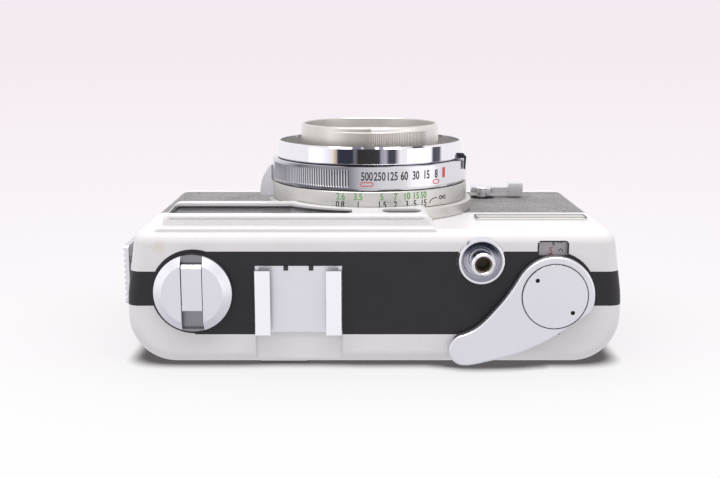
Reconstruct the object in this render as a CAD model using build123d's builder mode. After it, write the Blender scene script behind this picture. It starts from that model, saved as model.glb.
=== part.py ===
"""A half frame 35 mm camera with a leaf shutter lens, standing upright on its base.

+Z is up, the lens looks towards -Y, and +X is the side of the rewind knob.
The origin is the middle of the base. All sizes are in millimetres.
"""

import os
from math import atan2, cos, degrees, radians, sin

from build123d import *

os.makedirs("parts", exist_ok=True)

# ---- driving dimensions -------------------------------------------------

# body block
front_y = -15.95
back_y = 15.5
half_width_front = 55.2
half_width_middle = 57.5
half_width_back = 57.2
body_top = 66.0
front_corner = 3.0
side_bulge = 30.0
back_corner = 11.0
top_edge = 3.0
base_edge = 1.5

# sheet metal, leather and the black band
wall = 1.2
gap = 0.1
run_gap = 0.08
band_depth = 0.6

# levels of the covers, the casting and the back door
base_top = 4.4
leather_low = 4.6
leather_high = 40.1
cover_low = 40.3
cover_back_low = 54.0
casting_low = wall + gap
casting_top = 53.4
chamber_low = 6.6
chamber_high = 51.4
split_y = 6.0
split_gap = 0.1
door_low = 4.6
door_high = 53.8
door_wall = 1.5

# lens, measured forwards from its seat
lens_seat_y = -15.5
lens_x = 0.85
lens_z = 29.0
flange_r = 26.4
ring_r = 25.2
barrel_r = 21.5
boss_r = 16.4
chrome_r = 24.2
filter_r = 17.7

# film path
film_y = 8.0
frame_wide = 17.0
frame_high = 24.0

# shafts under the top plate
shaft_y = -1.3
rewind_x = 41.7
rewind_y = -1.75
advance_x = -41.1
sprocket_x = -20.5
sprocket_r = 6.05
sprocket_y = film_y - sprocket_r
release_x = -24.4
release_y = -9.05

# black band on the top
band_front = -11.2
band_back = 8.45
band_end_front = -6.5
band_end_back = 1.6
band_lobe_r = 9.95

# accessory shoe
shoe_x = 17.5
shoe_wide = 20.0
shoe_rail = 3.6
shoe_front = -7.8
shoe_back = 7.9
shoe_slot = 2.1
shoe_sheet = 0.8
shoe_notch = 2.9

# viewfinder housing on the front of the top cover
housing_left = 48.6
housing_right = -12.4
housing_front = -19.9
housing_lean = 0.7
housing_slant = 1.2
housing_low = 46.8
housing_top = 62.1
step_front = -16.6
step_top = 64.75
arch_r = 26.8
arch_lip_r = 25.7
arch_lip = 0.8
window_left = 48.0
window_right = 5.2
window_low = 49.4
window_high = 60.8

# windows
window_recess = 1.05
window_frame = 0.7
cds_x = -6.4
cds_z = 58.1
cds_wide = 9.3
cds_high = 4.6
eyepiece_x = 21.3
eyepiece_z = 59.6
eyepiece_wide = 12.0
eyepiece_high = 8.0
counter_x = -40.85
counter_y = -11.78
counter_wide = 6.5
counter_deep = 3.15
counter_border = 0.35

# back door hinge and latch
hinge_x = -58.2
hinge_y = split_y
hinge_r = 1.5
hinge_pin_r = 0.7
hinge_low = 8.0
hinge_high = 39.6
latch_y = -4.4
latch_wide = 14.0
latch_slot_low = 53.9
latch_slot_high = 59.1

# ---- planes and shared shapes -------------------------------------------

lens_section = Plane(origin=(lens_x, lens_seat_y, lens_z), x_dir=(1, 0, 0), z_dir=(0, 0, -1))
lens_axis = Axis((lens_x, lens_seat_y, lens_z), (0, -1, 0))


def upright_section(x, y):
    """Section plane through an upright axis: across is the radius, up is the height."""
    return Plane(origin=(x, y, 0), x_dir=(1, 0, 0), z_dir=(0, -1, 0))


def upright_axis(x, y):
    return Axis((x, y, 0), (0, 0, 1))


def front_plane(x, z, y):
    """Plane facing forwards, with its origin at a place on the front."""
    return Plane(origin=(x, y, z), x_dir=(1, 0, 0), z_dir=(0, -1, 0))


def save(piece, name):
    piece.part.label = name
    export_step(piece.part, f"parts/{name}.step")


def body_plan(inset):
    """Plan outline of the body: flat front, gently bulging sides, round back corners."""
    half = [(half_width_front, front_y), (half_width_middle, 0), (half_width_back, back_y)]
    mirrored = [(-x, y) for x, y in reversed(half)]
    with BuildSketch() as plan:
        with BuildLine():
            Polyline(*half, *mirrored, close=True)
        make_face()
        for level, radius in ((front_y, front_corner), (0, side_bulge), (back_y, back_corner)):
            corners = [v for v in plan.vertices() if abs(v.Y - level) < 0.01 and abs(v.X) > 50]
            fillet(corners, radius)
        if inset:
            offset(amount=-inset)
    return plan.sketch


def body_prism(inset, low, high, edge=0):
    """Body block between two levels, with its top edge rounded if asked."""
    with BuildPart() as prism:
        with BuildSketch(Plane.XY.offset(low)):
            add(body_plan(inset))
        extrude(amount=high - low)
        if edge:
            fillet(prism.faces().sort_by(Axis.Z)[-1].edges(), edge)
    return prism.part


def block(x_range, y_range, z_range):
    """Plain box between two corners, for cutting and joining."""
    ranges = (x_range, y_range, z_range)
    with BuildPart() as box:
        with Locations(tuple((low + high) / 2 for low, high in ranges)):
            Box(*(high - low for low, high in ranges))
    return box.part


def rod(x, y, radius, low, high):
    """Upright round bar, for cutting and joining."""
    with BuildPart() as bar:
        with BuildSketch(Plane.XY.offset(low)):
            with Locations((x, y)):
                Circle(radius)
        extrude(amount=high - low)
    return bar.part


def front_rod(x, z, radius, near, far):
    """Round bar pointing forwards, from one y position to another in front of it."""
    with BuildPart() as bar:
        with BuildSketch(front_plane(x, z, near)):
            Circle(radius)
        extrude(amount=near - far)
    return bar.part


def front_panel(x_range, z_range, near, far, corner):
    """Rounded rectangular plate facing forwards, from one y position to another."""
    middle_x = (x_range[0] + x_range[1]) / 2
    middle_z = (z_range[0] + z_range[1]) / 2
    with BuildPart() as plate:
        with BuildSketch(front_plane(middle_x, middle_z, near)):
            RectangleRounded(x_range[1] - x_range[0], z_range[1] - z_range[0], corner)
        extrude(amount=near - far)
    return plate.part


def turned(plane, axis, profile):
    """Solid turned about an axis from a closed profile of straight lines."""
    with BuildPart() as piece:
        with BuildSketch(plane):
            with BuildLine():
                Polyline(*profile, close=True)
            make_face()
        revolve(axis=axis)
    return piece.part


def window_panel(x_range, z_range, near, far, corner):
    """Front panel whose lower corner is cut back by the arch over the lens."""
    with BuildPart() as plate:
        add(front_panel(x_range, z_range, near, far, corner))
        add(front_rod(lens_x, lens_z, arch_r + wall, near + 1, far - 1), mode=Mode.SUBTRACT)
    return plate.part


def grown(x_range, amount):
    return (x_range[0] - amount, x_range[1] + amount)


# ---- top band: black strip let into the top and wrapped down both ends ---

with BuildPart() as band_zone:
    with BuildSketch(Plane.XY.offset(cover_low)):
        with Locations(((rewind_x + advance_x) / 2, (band_front + band_back) / 2)):
            Rectangle(rewind_x - advance_x, band_back - band_front)
        with Locations((rewind_x, rewind_y), (advance_x, shaft_y)):
            Circle(band_lobe_r)
        with Locations((0, (band_end_front + band_end_back) / 2)):
            Rectangle(2 * half_width_middle + 2, band_end_back - band_end_front)
        behind_lever = 10
        with Locations((advance_x - 2 - behind_lever, band_end_back + behind_lever)):
            Rectangle(2 * behind_lever, 2 * behind_lever, mode=Mode.SUBTRACT)
        with Locations((counter_x, counter_y)):
            border = 2 * counter_border
            RectangleRounded(counter_wide + border, counter_deep + border, 0.9)
    extrude(amount=body_top - cover_low)

with BuildPart() as band_layer:
    add(body_prism(0, cover_low, body_top, top_edge))
    band_floor = body_top - band_depth
    add(body_prism(band_depth, cover_low, band_floor, top_edge - band_depth), mode=Mode.SUBTRACT)
    add(band_zone.part, mode=Mode.INTERSECT)

# ---- openings that the top cover, the band and the casting share ---------

hub_hole = rod(advance_x, shaft_y, 5.2, casting_top, body_top + 1)
collar_seat = rod(release_x, release_y, 4.6, casting_top, body_top + 1)
rewind_hole = rod(rewind_x, rewind_y, 3.6, casting_top, body_top + 1)
latch_slot = block((50, 60), (latch_y - 2.2, latch_y + 2.2), (latch_slot_low, latch_slot_high))
lug_y = -0.2
lug_z = 46.0
lug_root_x = 54.4
lug_neck_r = 1.6
lug_hole = turned(
    Plane(origin=(0, lug_y, lug_z), x_dir=(-1, 0, 0), z_dir=(0, 1, 0)),
    Axis((0, lug_y, lug_z), (-1, 0, 0)),
    [(lug_root_x, 0), (62, 0), (62, lug_neck_r), (lug_root_x, lug_neck_r)],
)
counter_pocket = block(
    (counter_x - counter_wide / 2, counter_x + counter_wide / 2),
    (counter_y - counter_deep / 2, counter_y + counter_deep / 2),
    (60, body_top + 1),
)
shoe_range = (shoe_x - shoe_wide / 2, shoe_x + shoe_wide / 2)

with BuildPart() as top_band:
    add(band_layer.part)
    add(rod(rewind_x, rewind_y, 8.0, 60, 70), mode=Mode.SUBTRACT)
    add(rod(advance_x, shaft_y, 5.2, 60, 70), mode=Mode.SUBTRACT)
    add(rod(release_x, release_y, 5.7, 60, 70), mode=Mode.SUBTRACT)
    add(block(grown(shoe_range, gap), (shoe_front - gap, back_y), (60, 70)), mode=Mode.SUBTRACT)
    for opening in (latch_slot, lug_hole, counter_pocket):
        add(opening, mode=Mode.SUBTRACT)
save(top_band, "top_band")

# ---- top cover: pressed shell with the viewfinder housing on its front ---


def housing_block(front, left, right, low, top, edge, lean):
    """Block standing out of the front of the cover: its face leans back and its edges are round."""
    root = front_y + wall
    with BuildPart() as housing:
        with BuildSketch(Plane.XY.offset(low)):
            with BuildLine():
                foot_left = (left + housing_slant, root)
                foot_right = (right - housing_slant, root)
                Polyline(foot_left, (left, front), (right, front), foot_right, close=True)
            make_face()
        extrude(amount=top - low)
        beside = right - housing_slant
        with BuildSketch(Plane(origin=(beside, 0, 0), x_dir=(0, 1, 0), z_dir=(1, 0, 0))):
            Polygon((front, low), (front + lean, top), (front - 1, top), (front - 1, low), align=None)
        extrude(amount=left + housing_slant - beside, mode=Mode.SUBTRACT)
        face = housing.faces().sort_by(Axis.Y)[0]
        upright = [e for e in face.edges() if abs(e.tangent_at(0.5).Z) > 0.9]
        fillet(upright, 2 * edge)
        upper = housing.faces().sort_by(Axis.Z)[-1].edges()
        fillet([e for e in upper if e.center().Y < root - 0.1], edge)
    return housing.part


window_x = (window_right, window_left)
window_z = (window_low, window_high)
cds_x_range = (cds_x - cds_wide / 2, cds_x + cds_wide / 2)
cds_z_range = (cds_z - cds_high / 2, cds_z + cds_high / 2)
eye_x = (eyepiece_x - eyepiece_wide / 2, eyepiece_x + eyepiece_wide / 2)
eye_z = (eyepiece_z - eyepiece_high / 2, eyepiece_z + eyepiece_high / 2)
housing_inner_front = housing_front + housing_lean + 0.8

with BuildPart() as top_cover:
    add(body_prism(0, cover_low, body_top, top_edge))
    add(housing_block(step_front, housing_left + 1.4, housing_right - 1.4, 50, step_top, 0.5, 0.1))
    low_and_top = (housing_low, housing_top)
    add(housing_block(housing_front, housing_left, housing_right, *low_and_top, 0.9, housing_lean))
    lip_back = housing_front + arch_lip
    add(front_rod(lens_x, lens_z, arch_r, front_y, lip_back), mode=Mode.SUBTRACT)
    add(front_rod(lens_x, lens_z, arch_lip_r, lip_back, housing_front - 1), mode=Mode.SUBTRACT)
    groove_x = (housing_right + 1.2, housing_left - 1.2)
    groove_y = (housing_front + housing_lean + 0.85, housing_front + housing_lean + 1.3)
    add(block(groove_x, groove_y, (housing_top - 0.22, housing_top + 1)), mode=Mode.SUBTRACT)
    add(body_prism(wall, cover_low, body_top - wall, top_edge - wall), mode=Mode.SUBTRACT)
    with BuildPart(mode=Mode.PRIVATE) as cavity:
        add(
            block(
                (housing_right + wall, housing_left - wall),
                (housing_inner_front, front_y + 2 * wall),
                (housing_low + wall, housing_top - wall),
            )
        )
        add(front_rod(lens_x, lens_z, arch_r + wall, front_y + 3 * wall, -20), mode=Mode.SUBTRACT)
    add(cavity.part, mode=Mode.SUBTRACT)
    add(window_panel(window_x, window_z, -15, -21, 1.2), mode=Mode.SUBTRACT)
    add(front_panel(cds_x_range, cds_z_range, -15, -21, cds_high / 2 - 0.01), mode=Mode.SUBTRACT)
    add(front_panel(eye_x, eye_z, 17, 13, 1.0), mode=Mode.SUBTRACT)
    add(front_rod(lens_x, lens_z, boss_r + gap, -10, -20), mode=Mode.SUBTRACT)
    add(block((-70, 70), (split_y - split_gap, 20), (cover_low, cover_back_low)), mode=Mode.SUBTRACT)
    add(block(grown(shoe_range, gap), (shoe_back, 20), (body_top - band_depth, 70)), mode=Mode.SUBTRACT)
    add(band_layer.part, mode=Mode.SUBTRACT)
    for opening in (hub_hole, collar_seat, rewind_hole, latch_slot, lug_hole, counter_pocket):
        add(opening, mode=Mode.SUBTRACT)
save(top_cover, "top_cover")

# ---- casting: film chambers, light box and the seat of the lens ----------

cassette_r = 12.6
spool_chamber_r = 11.2
sprocket_chamber_r = 7.3
light_box_wide = 19.0
light_box_high = 26.0
casting_back = split_y - split_gap - 0.1
gate_sheet = 0.8
gate_left = -13.0
gate_right = 28.4
shaft_r = 3.4
pivot_r = 2.0
tripod_x = -6.0
tripod_y = 0.0
tripod_r = 3.175
tripod_bush_r = 5.2
tripod_bush_top = 9.0
battery_x = 17.0
battery_y = -2.0
battery_r = 7.8
rewind_button_x = -22.0
rewind_button_y = 2.0
timer_x = -30.5
timer_z = 13.5
timer_post_r = 1.5
sync_x = 22.0
sync_z = 8.3
screw_spots = [(-50.0, -8.0), (50.0, -8.0), (-50.0, 8.0), (50.0, 8.0)]
screw_shank_r = 0.9


def chamber(x, y, radius):
    """Film chamber: a round front half that runs straight back to the door."""
    with BuildPart() as room:
        with BuildSketch(Plane.XY.offset(chamber_low)):
            with Locations((x, y)):
                Circle(radius)
            with Locations((x, (y + 20) / 2)):
                Rectangle(2 * radius, 20 - y)
        extrude(amount=chamber_high - chamber_low)
    return room.part


with BuildPart() as chassis:
    add(body_prism(wall + gap, casting_low, casting_top))
    add(block((-70, 70), (casting_back, 20), (0, 60)), mode=Mode.SUBTRACT)
    gate_block_back = film_y - gate_sheet
    add(block((gate_left, gate_right), (casting_back, gate_block_back), (chamber_low, chamber_high)))
    add(chamber(rewind_x, rewind_y, cassette_r), mode=Mode.SUBTRACT)
    add(chamber(advance_x, shaft_y, spool_chamber_r), mode=Mode.SUBTRACT)
    add(chamber(sprocket_x, sprocket_y, sprocket_chamber_r), mode=Mode.SUBTRACT)
    light_x = (lens_x - light_box_wide / 2, lens_x + light_box_wide / 2)
    light_z = (lens_z - light_box_high / 2, lens_z + light_box_high / 2)
    add(block(light_x, (-20, 20), light_z), mode=Mode.SUBTRACT)
    add(block((12.4, 27.0), (-12.4, 5.2), (10.5, 60)), mode=Mode.SUBTRACT)
    add(front_rod(lens_x, lens_z, boss_r + gap, -10.5, -20), mode=Mode.SUBTRACT)
    add(front_rod(lens_x, lens_z, 13.2, -4.5, -20), mode=Mode.SUBTRACT)
    add(rod(advance_x, shaft_y, shaft_r + run_gap, 50, 60), mode=Mode.SUBTRACT)
    add(rod(rewind_x, rewind_y, shaft_r + run_gap, 50, 60), mode=Mode.SUBTRACT)
    add(rod(sprocket_x, sprocket_y, pivot_r + run_gap, 50, 60), mode=Mode.SUBTRACT)
    for x, y in ((advance_x, shaft_y), (sprocket_x, sprocket_y)):
        add(rod(x, y, pivot_r + run_gap, 4.0, chamber_low + 1), mode=Mode.SUBTRACT)
    add(rod(tripod_x, tripod_y, tripod_bush_r, 0, tripod_bush_top), mode=Mode.SUBTRACT)
    add(rod(battery_x, battery_y, battery_r + gap, 0, 8.4), mode=Mode.SUBTRACT)
    add(rod(rewind_button_x, rewind_button_y, 2.4, 0, 3.9), mode=Mode.SUBTRACT)
    add(front_rod(timer_x, timer_z, timer_post_r + run_gap, -10, -20), mode=Mode.SUBTRACT)
    add(front_rod(sync_x, sync_z, 2.2, -11, -20), mode=Mode.SUBTRACT)
    add(lug_hole, mode=Mode.SUBTRACT)
    for x, y in screw_spots[:2]:
        add(rod(x, y, screw_shank_r, 0, 5), mode=Mode.SUBTRACT)
    knuckle_z = (16.0, 31.0)
    add(rod(hinge_x, hinge_y, hinge_r, *knuckle_z))
    add(block((hinge_x, -55.4), (4.5, casting_back), knuckle_z))
    add(rod(hinge_x, hinge_y, hinge_pin_r + run_gap, 0, 60), mode=Mode.SUBTRACT)
save(chassis, "chassis")

# ---- bottom cover and what sits in it -------------------------------------

screw_head_r = 1.7
screw_head_high = 0.7
battery_cap_r = 8.6

with BuildPart() as bottom_cover:
    with BuildSketch():
        add(body_plan(0))
    extrude(amount=base_top)
    fillet(bottom_cover.faces().sort_by(Axis.Z)[0].edges(), base_edge)
    add(body_prism(wall, wall, base_top + 1), mode=Mode.SUBTRACT)
    add(rod(tripod_x, tripod_y, tripod_bush_r, -1, 3), mode=Mode.SUBTRACT)
    add(rod(battery_x, battery_y, battery_cap_r + run_gap, -1, 3), mode=Mode.SUBTRACT)
    add(rod(rewind_button_x, rewind_button_y, 2.4, -1, 3), mode=Mode.SUBTRACT)
    for x, y in screw_spots[:2]:
        add(rod(x, y, screw_head_r, -1, screw_head_high + 0.1), mode=Mode.SUBTRACT)
        add(rod(x, y, screw_shank_r, -1, 3), mode=Mode.SUBTRACT)
save(bottom_cover, "bottom_cover")

with BuildPart() as tripod_socket:
    add(rod(tripod_x, tripod_y, tripod_bush_r, 0.1, tripod_bush_top))
    add(rod(tripod_x, tripod_y, tripod_r, 0, 7.6), mode=Mode.SUBTRACT)
    chamfer(tripod_socket.edges().group_by(Axis.Z)[0].sort_by(SortBy.RADIUS)[0], 0.4)
save(tripod_socket, "tripod_socket")

with BuildPart() as cover_screws:
    for x, y in screw_spots[:2]:
        add(rod(x, y, screw_head_r, 0.1, screw_head_high + 0.1))
        add(rod(x, y, screw_shank_r, screw_head_high, 4.8))
        add(block((x - 2, x + 2), (y - 0.25, y + 0.25), (0, 0.45)), mode=Mode.SUBTRACT)
save(cover_screws, "cover_screws")

with BuildPart() as battery_cell:
    add(rod(battery_x, battery_y, battery_r, 1.9, 7.9))
    fillet(battery_cell.edges().group_by(Axis.Z)[-1], 0.6)
save(battery_cell, "battery_cell")

with BuildPart() as battery_cover:
    add(rod(battery_x, battery_y, battery_cap_r, 0.1, 1.2))
    add(rod(battery_x, battery_y, battery_r - 0.4, 0.1, 1.8))
    coin_slot = (battery_y - 0.7, battery_y + 0.7)
    add(block((battery_x - 6, battery_x + 6), coin_slot, (0, 0.8)), mode=Mode.SUBTRACT)
save(battery_cover, "battery_cover")

with BuildPart() as rewind_release_button:
    add(rod(rewind_button_x, rewind_button_y, 2.3, 0.3, 2.3))
    fillet(rewind_release_button.edges().group_by(Axis.Z)[0], 0.3)
save(rewind_release_button, "rewind_release_button")

# ---- leather on the front and round the sides -----------------------------

leather_side_end = 5.6


def leather_half(side):
    """One leather panel, from the middle of the front round the side to the hinge line."""
    x_range = (lens_x, 70) if side > 0 else (-70, lens_x)
    with BuildPart() as panel:
        add(body_prism(gap, leather_low, leather_high))
        add(body_prism(wall, leather_low, leather_high), mode=Mode.SUBTRACT)
        add(block(x_range, (-20, leather_side_end), (0, 60)), mode=Mode.INTERSECT)
        add(front_rod(lens_x, lens_z, boss_r + gap, -10, -20), mode=Mode.SUBTRACT)
        add(front_rod(timer_x, timer_z, 3.5, -10, -20), mode=Mode.SUBTRACT)
        add(front_rod(sync_x, sync_z, 2.9, -10, -20), mode=Mode.SUBTRACT)
        add(block((-60, -56), (4.3, 20), (hinge_low - 0.3, hinge_high)), mode=Mode.SUBTRACT)
    return panel


front_leather_left = leather_half(1)
save(front_leather_left, "front_leather_left")
front_leather_right = leather_half(-1)
save(front_leather_right, "front_leather_right")

# ---- film path: gate, take-up spool and sprocket --------------------------

gate_x = (gate_left + 0.5, gate_right - 0.5)
rail_high = 0.4
rail_offset = frame_high / 2 + 2.2

with BuildPart() as film_gate:
    add(block(gate_x, (gate_block_back, film_y - rail_high), (lens_z - 20, lens_z + 20)))
    for side in (-1, 1):
        rail = (lens_z + side * rail_offset - 0.8, lens_z + side * rail_offset + 0.8)
        add(block(gate_x, (gate_block_back, film_y), rail))
    frame_x = (lens_x - frame_wide / 2, lens_x + frame_wide / 2)
    frame_z = (lens_z - frame_high / 2, lens_z + frame_high / 2)
    add(block(frame_x, (0, 20), frame_z), mode=Mode.SUBTRACT)
save(film_gate, "film_gate")

spool_core_r = 5.4
spool_flange_r = 9.6
spool_low = chamber_low + 0.3
spool_high = 48.6

with BuildPart() as takeup_spool:
    add(rod(advance_x, shaft_y, spool_core_r, spool_low, spool_high))
    add(rod(advance_x, shaft_y, spool_flange_r, spool_low, spool_low + 1.2))
    add(rod(advance_x, shaft_y, spool_flange_r - 1, spool_high - 1.2, spool_high))
    add(rod(advance_x, shaft_y, pivot_r, 4.3, spool_low))
    with Locations((advance_x, shaft_y, lens_z)):
        with PolarLocations(spool_core_r, 3):
            Box(5, 1.4, 30, mode=Mode.SUBTRACT)
save(takeup_spool, "takeup_spool")

gear_module = 0.632
lever_teeth = 36
sprocket_teeth = 30
gear_low = 54.4
gear_high = 56.4
mesh_angle = degrees(atan2(sprocket_y - shaft_y, sprocket_x - advance_x))


def gear(x, y, teeth, first_tooth):
    """Spur gear with straight-sided teeth and generous backlash, first tooth at an angle."""
    pitch_r = teeth * gear_module / 2
    root_r = pitch_r - 1.1 * gear_module
    tip = pitch_r + 0.8 * gear_module
    root_half = 0.62 * gear_module
    tip_half = 0.28 * gear_module
    with BuildPart() as wheel:
        with BuildSketch(Plane.XY.offset(gear_low)):
            with Locations((x, y)):
                Circle(root_r)
                with PolarLocations(0, teeth, start_angle=first_tooth):
                    corners = [(root_r - 0.2, -root_half), (tip, -tip_half), (tip, tip_half)]
                    Polygon(*corners, (root_r - 0.2, root_half), align=None)
        extrude(amount=gear_high - gear_low)
    return wheel.part


drum_teeth = 8
perforation_row = 14.1

with BuildPart() as film_sprocket:
    add(rod(sprocket_x, sprocket_y, sprocket_r - 1.6, chamber_low + 0.3, chamber_high - 0.3))
    for side in (-1, 1):
        row = lens_z + side * perforation_row
        add(rod(sprocket_x, sprocket_y, sprocket_r - 0.1, row - 2.5, row + 2.5))
        with Locations((sprocket_x, sprocket_y, row)):
            with PolarLocations(sprocket_r, drum_teeth, start_angle=mesh_angle):
                Box(1.6, 1.3, 1.6)
    add(rod(sprocket_x, sprocket_y, pivot_r, 4.3, gear_low + 0.1))
    half_tooth = 180 / sprocket_teeth
    add(gear(sprocket_x, sprocket_y, sprocket_teeth, mesh_angle + 180 + half_tooth))
save(film_sprocket, "film_sprocket")

# ---- film advance lever, its shaft and the frame counter -------------------

lever_low = 66.8
lever_top = 69.0
lever_hub_r = 9.2
cap_r = 7.5
cap_low = 67.7
cap_top = 69.15
spanner_r = 5.6
spanner_angle = -42.4

with BuildPart() as advance_shaft:
    add(rod(advance_x, shaft_y, shaft_r, 49.0, lever_low))
    add(gear(advance_x, shaft_y, lever_teeth, mesh_angle))
    add(rod(advance_x, shaft_y, 4.9, 65.2, lever_low))
save(advance_shaft, "advance_shaft")


def lever_outline():
    """Thumb lever seen from above: a round hub that sweeps out to a rounded tip."""
    leave = radians(-42)
    start = (lever_hub_r * cos(leave), lever_hub_r * sin(leave))
    off_hub = (-sin(leave), cos(leave))
    with BuildSketch() as sketch:
        with BuildLine():
            ThreePointArc((-lever_hub_r, 0), (0, -lever_hub_r), start)
            front = [start, (9.6, -1.9), (13.9, 3.7), (18.0, 7.7), (20.8, 9.1)]
            inner = Spline(*front, tangents=(off_hub, (0.93, 0.36)))
            tip = ThreePointArc(inner @ 1, (24.0, 12.6), (21.9, 16.1))
            back = [tip @ 1, (15.4, 15.6), (7.5, 13.4), (-0.3, 9.5), (-6.5, 5.2), (-lever_hub_r, 0)]
            Spline(*back, tangents=(tip % 1, (0, -1)))
        make_face()
    return sketch.sketch


with BuildPart() as advance_lever:
    with BuildSketch(Plane.XY.offset(lever_low)):
        with Locations((advance_x, shaft_y)):
            add(lever_outline())
    extrude(amount=lever_top - lever_low)
    fillet(advance_lever.faces().sort_by(Axis.Z)[-1].edges(), 0.5)
    fillet(advance_lever.faces().sort_by(Axis.Z)[0].edges(), 0.3)
    add(rod(advance_x, shaft_y, cap_r + run_gap, cap_low, 70), mode=Mode.SUBTRACT)
save(advance_lever, "advance_lever")

with BuildPart() as lever_cap:
    add(rod(advance_x, shaft_y, cap_r, cap_low, cap_top))
    chamfer(lever_cap.edges().group_by(Axis.Z)[-1], 0.15)
    with Locations((advance_x, shaft_y, cap_top)):
        with PolarLocations(spanner_r, 2, start_angle=spanner_angle):
            Hole(0.5, depth=0.8)
save(lever_cap, "lever_cap")

dial_r = 12.3
dial_low = 63.3
dial_high = 64.2

with BuildPart() as counter_dial:
    add(rod(advance_x, shaft_y, dial_r, dial_low, dial_high))
    add(rod(advance_x, shaft_y, shaft_r + run_gap, 60, 70), mode=Mode.SUBTRACT)
save(counter_dial, "counter_dial")

with BuildPart() as counter_window:
    with BuildSketch(Plane.XY.offset(64.9)):
        with Locations((counter_x, counter_y)):
            Rectangle(counter_wide, counter_deep)
    extrude(amount=0.8)
save(counter_window, "counter_window")

# ---- shutter release --------------------------------------------------------

collar_r = 5.6
collar_rim_r = 5.05
collar_top = 67.5
collar_foot_r = 4.55
bowl_low = 64.7
button_r = 2.7
button_top = 70.9
button_hole_r = button_r + run_gap

with BuildPart() as release_collar:
    dish = [
        (button_hole_r, bowl_low - 1),
        (collar_foot_r, bowl_low - 1),
        (collar_foot_r, body_top),
        (collar_r, body_top),
        (collar_r, body_top + 0.4),
        (collar_rim_r + 0.15, collar_top - 0.1),
        (collar_rim_r, collar_top),
        (collar_rim_r - 0.35, collar_top - 0.05),
        (3.9, bowl_low + 0.9),
        (3.2, bowl_low + 0.15),
        (button_hole_r, bowl_low),
    ]
    add(turned(upright_section(release_x, release_y), upright_axis(release_x, release_y), dish))
save(release_collar, "release_collar")

cable_socket_r = 1.6

with BuildPart() as release_button:
    stem = [
        (0, 58.6),
        (1.3, 58.6),
        (1.3, 60.4),
        (button_r, 60.4),
        (button_r, button_top - 0.35),
        (button_r - 0.35, button_top),
        (cable_socket_r + 0.4, button_top),
        (cable_socket_r, button_top - 0.5),
        (cable_socket_r, button_top - 5.0),
        (0, button_top - 5.0),
    ]
    add(turned(upright_section(release_x, release_y), upright_axis(release_x, release_y), stem))
save(release_button, "release_button")

# ---- rewind knob, crank and fork ---------------------------------------------

knob_r = 9.0
knob_face_r = 7.0
knob_low = 66.4
knob_shoulder = 67.8
knob_top = 69.1
channel_wide = 5.0
channel_floor = 66.9
crank_wide = 4.6
crank_low = 67.15
crank_top = 68.9
crank_front = -8.7
crank_pivot_y = 1.35
crank_pivot_z = 68.1
crank_back = 2.2
crank_pin_r = 0.35
fork_neck_r = 2.4

with BuildPart() as rewind_knob:
    dome = [
        (0, knob_low),
        (knob_r - 0.3, knob_low),
        (knob_r, knob_low + 0.3),
        (knob_r, knob_shoulder),
        (knob_face_r, knob_top),
        (0, knob_top),
    ]
    add(turned(upright_section(rewind_x, rewind_y), upright_axis(rewind_x, rewind_y), dome))
    channel_x = (rewind_x - channel_wide / 2, rewind_x + channel_wide / 2)
    channel_y = (rewind_y - 7.5, rewind_y + 8.3)
    add(block(channel_x, channel_y, (channel_floor, 70)), mode=Mode.SUBTRACT)
    add(block(channel_x, (rewind_y - 12, rewind_y), (knob_shoulder, 70)), mode=Mode.SUBTRACT)
    add(block(channel_x, (rewind_y, rewind_y + 12), (knob_shoulder + 0.1, 70)), mode=Mode.SUBTRACT)
    with Locations(Plane(origin=(rewind_x, crank_pivot_y, crank_pivot_z), z_dir=(1, 0, 0))):
        Cylinder(crank_pin_r, channel_wide + 2, mode=Mode.SUBTRACT)
save(rewind_knob, "rewind_knob")

with BuildPart() as crank_pin:
    with Locations(Plane(origin=(rewind_x, crank_pivot_y, crank_pivot_z), z_dir=(1, 0, 0))):
        Cylinder(crank_pin_r, channel_wide + 2)
save(crank_pin, "crank_pin")

with BuildPart() as rewind_crank:
    side_plane = Plane(origin=(rewind_x - crank_wide / 2, 0, 0), x_dir=(0, 1, 0), z_dir=(1, 0, 0))
    with BuildSketch(side_plane):
        with BuildLine():
            Polyline(
                (crank_front, crank_low),
                (crank_front + 0.7, crank_low),
                (crank_front + 1.2, crank_top - 0.7),
                (crank_pivot_y - 0.6, crank_top - 0.7),
                (crank_pivot_y - 0.6, crank_low + 0.1),
                (crank_back - 0.2, crank_low + 0.1),
                (crank_back, crank_low + 0.4),
                (crank_back, crank_top - 0.15),
                (crank_back - 0.15, crank_top),
                (crank_front + 0.9, crank_top),
                (crank_front + 0.1, crank_top - 0.6),
                close=True,
            )
        make_face()
        with Locations((crank_pivot_y, crank_pivot_z)):
            Circle(crank_pin_r + 0.04, mode=Mode.SUBTRACT)
    extrude(amount=crank_wide)
save(rewind_crank, "rewind_crank")

with BuildPart() as rewind_shaft:
    add(rod(rewind_x, rewind_y, fork_neck_r, 47.2, knob_low))
    add(rod(rewind_x, rewind_y, 1.2, 43.4, 47.2))
    fork_y = (rewind_y - 0.6, rewind_y + 0.6)
    add(block((rewind_x - 2.2, rewind_x + 2.2), fork_y, (43.4, 47.2)))
save(rewind_shaft, "rewind_shaft")

with BuildPart() as rewind_sleeve:
    add(rod(rewind_x, rewind_y, shaft_r, 51.6, 55.4))
    add(rod(rewind_x, rewind_y, 4.6, casting_top + 0.1, 54.6))
    add(rod(rewind_x, rewind_y, fork_neck_r + run_gap, 50, 60), mode=Mode.SUBTRACT)
save(rewind_sleeve, "rewind_sleeve")

# ---- accessory shoe ------------------------------------------------------------

band_floor = body_top - band_depth
shoe_floor_top = band_floor + 0.5
rail_under = shoe_floor_top + shoe_slot
rail_top = rail_under + shoe_sheet

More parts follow.
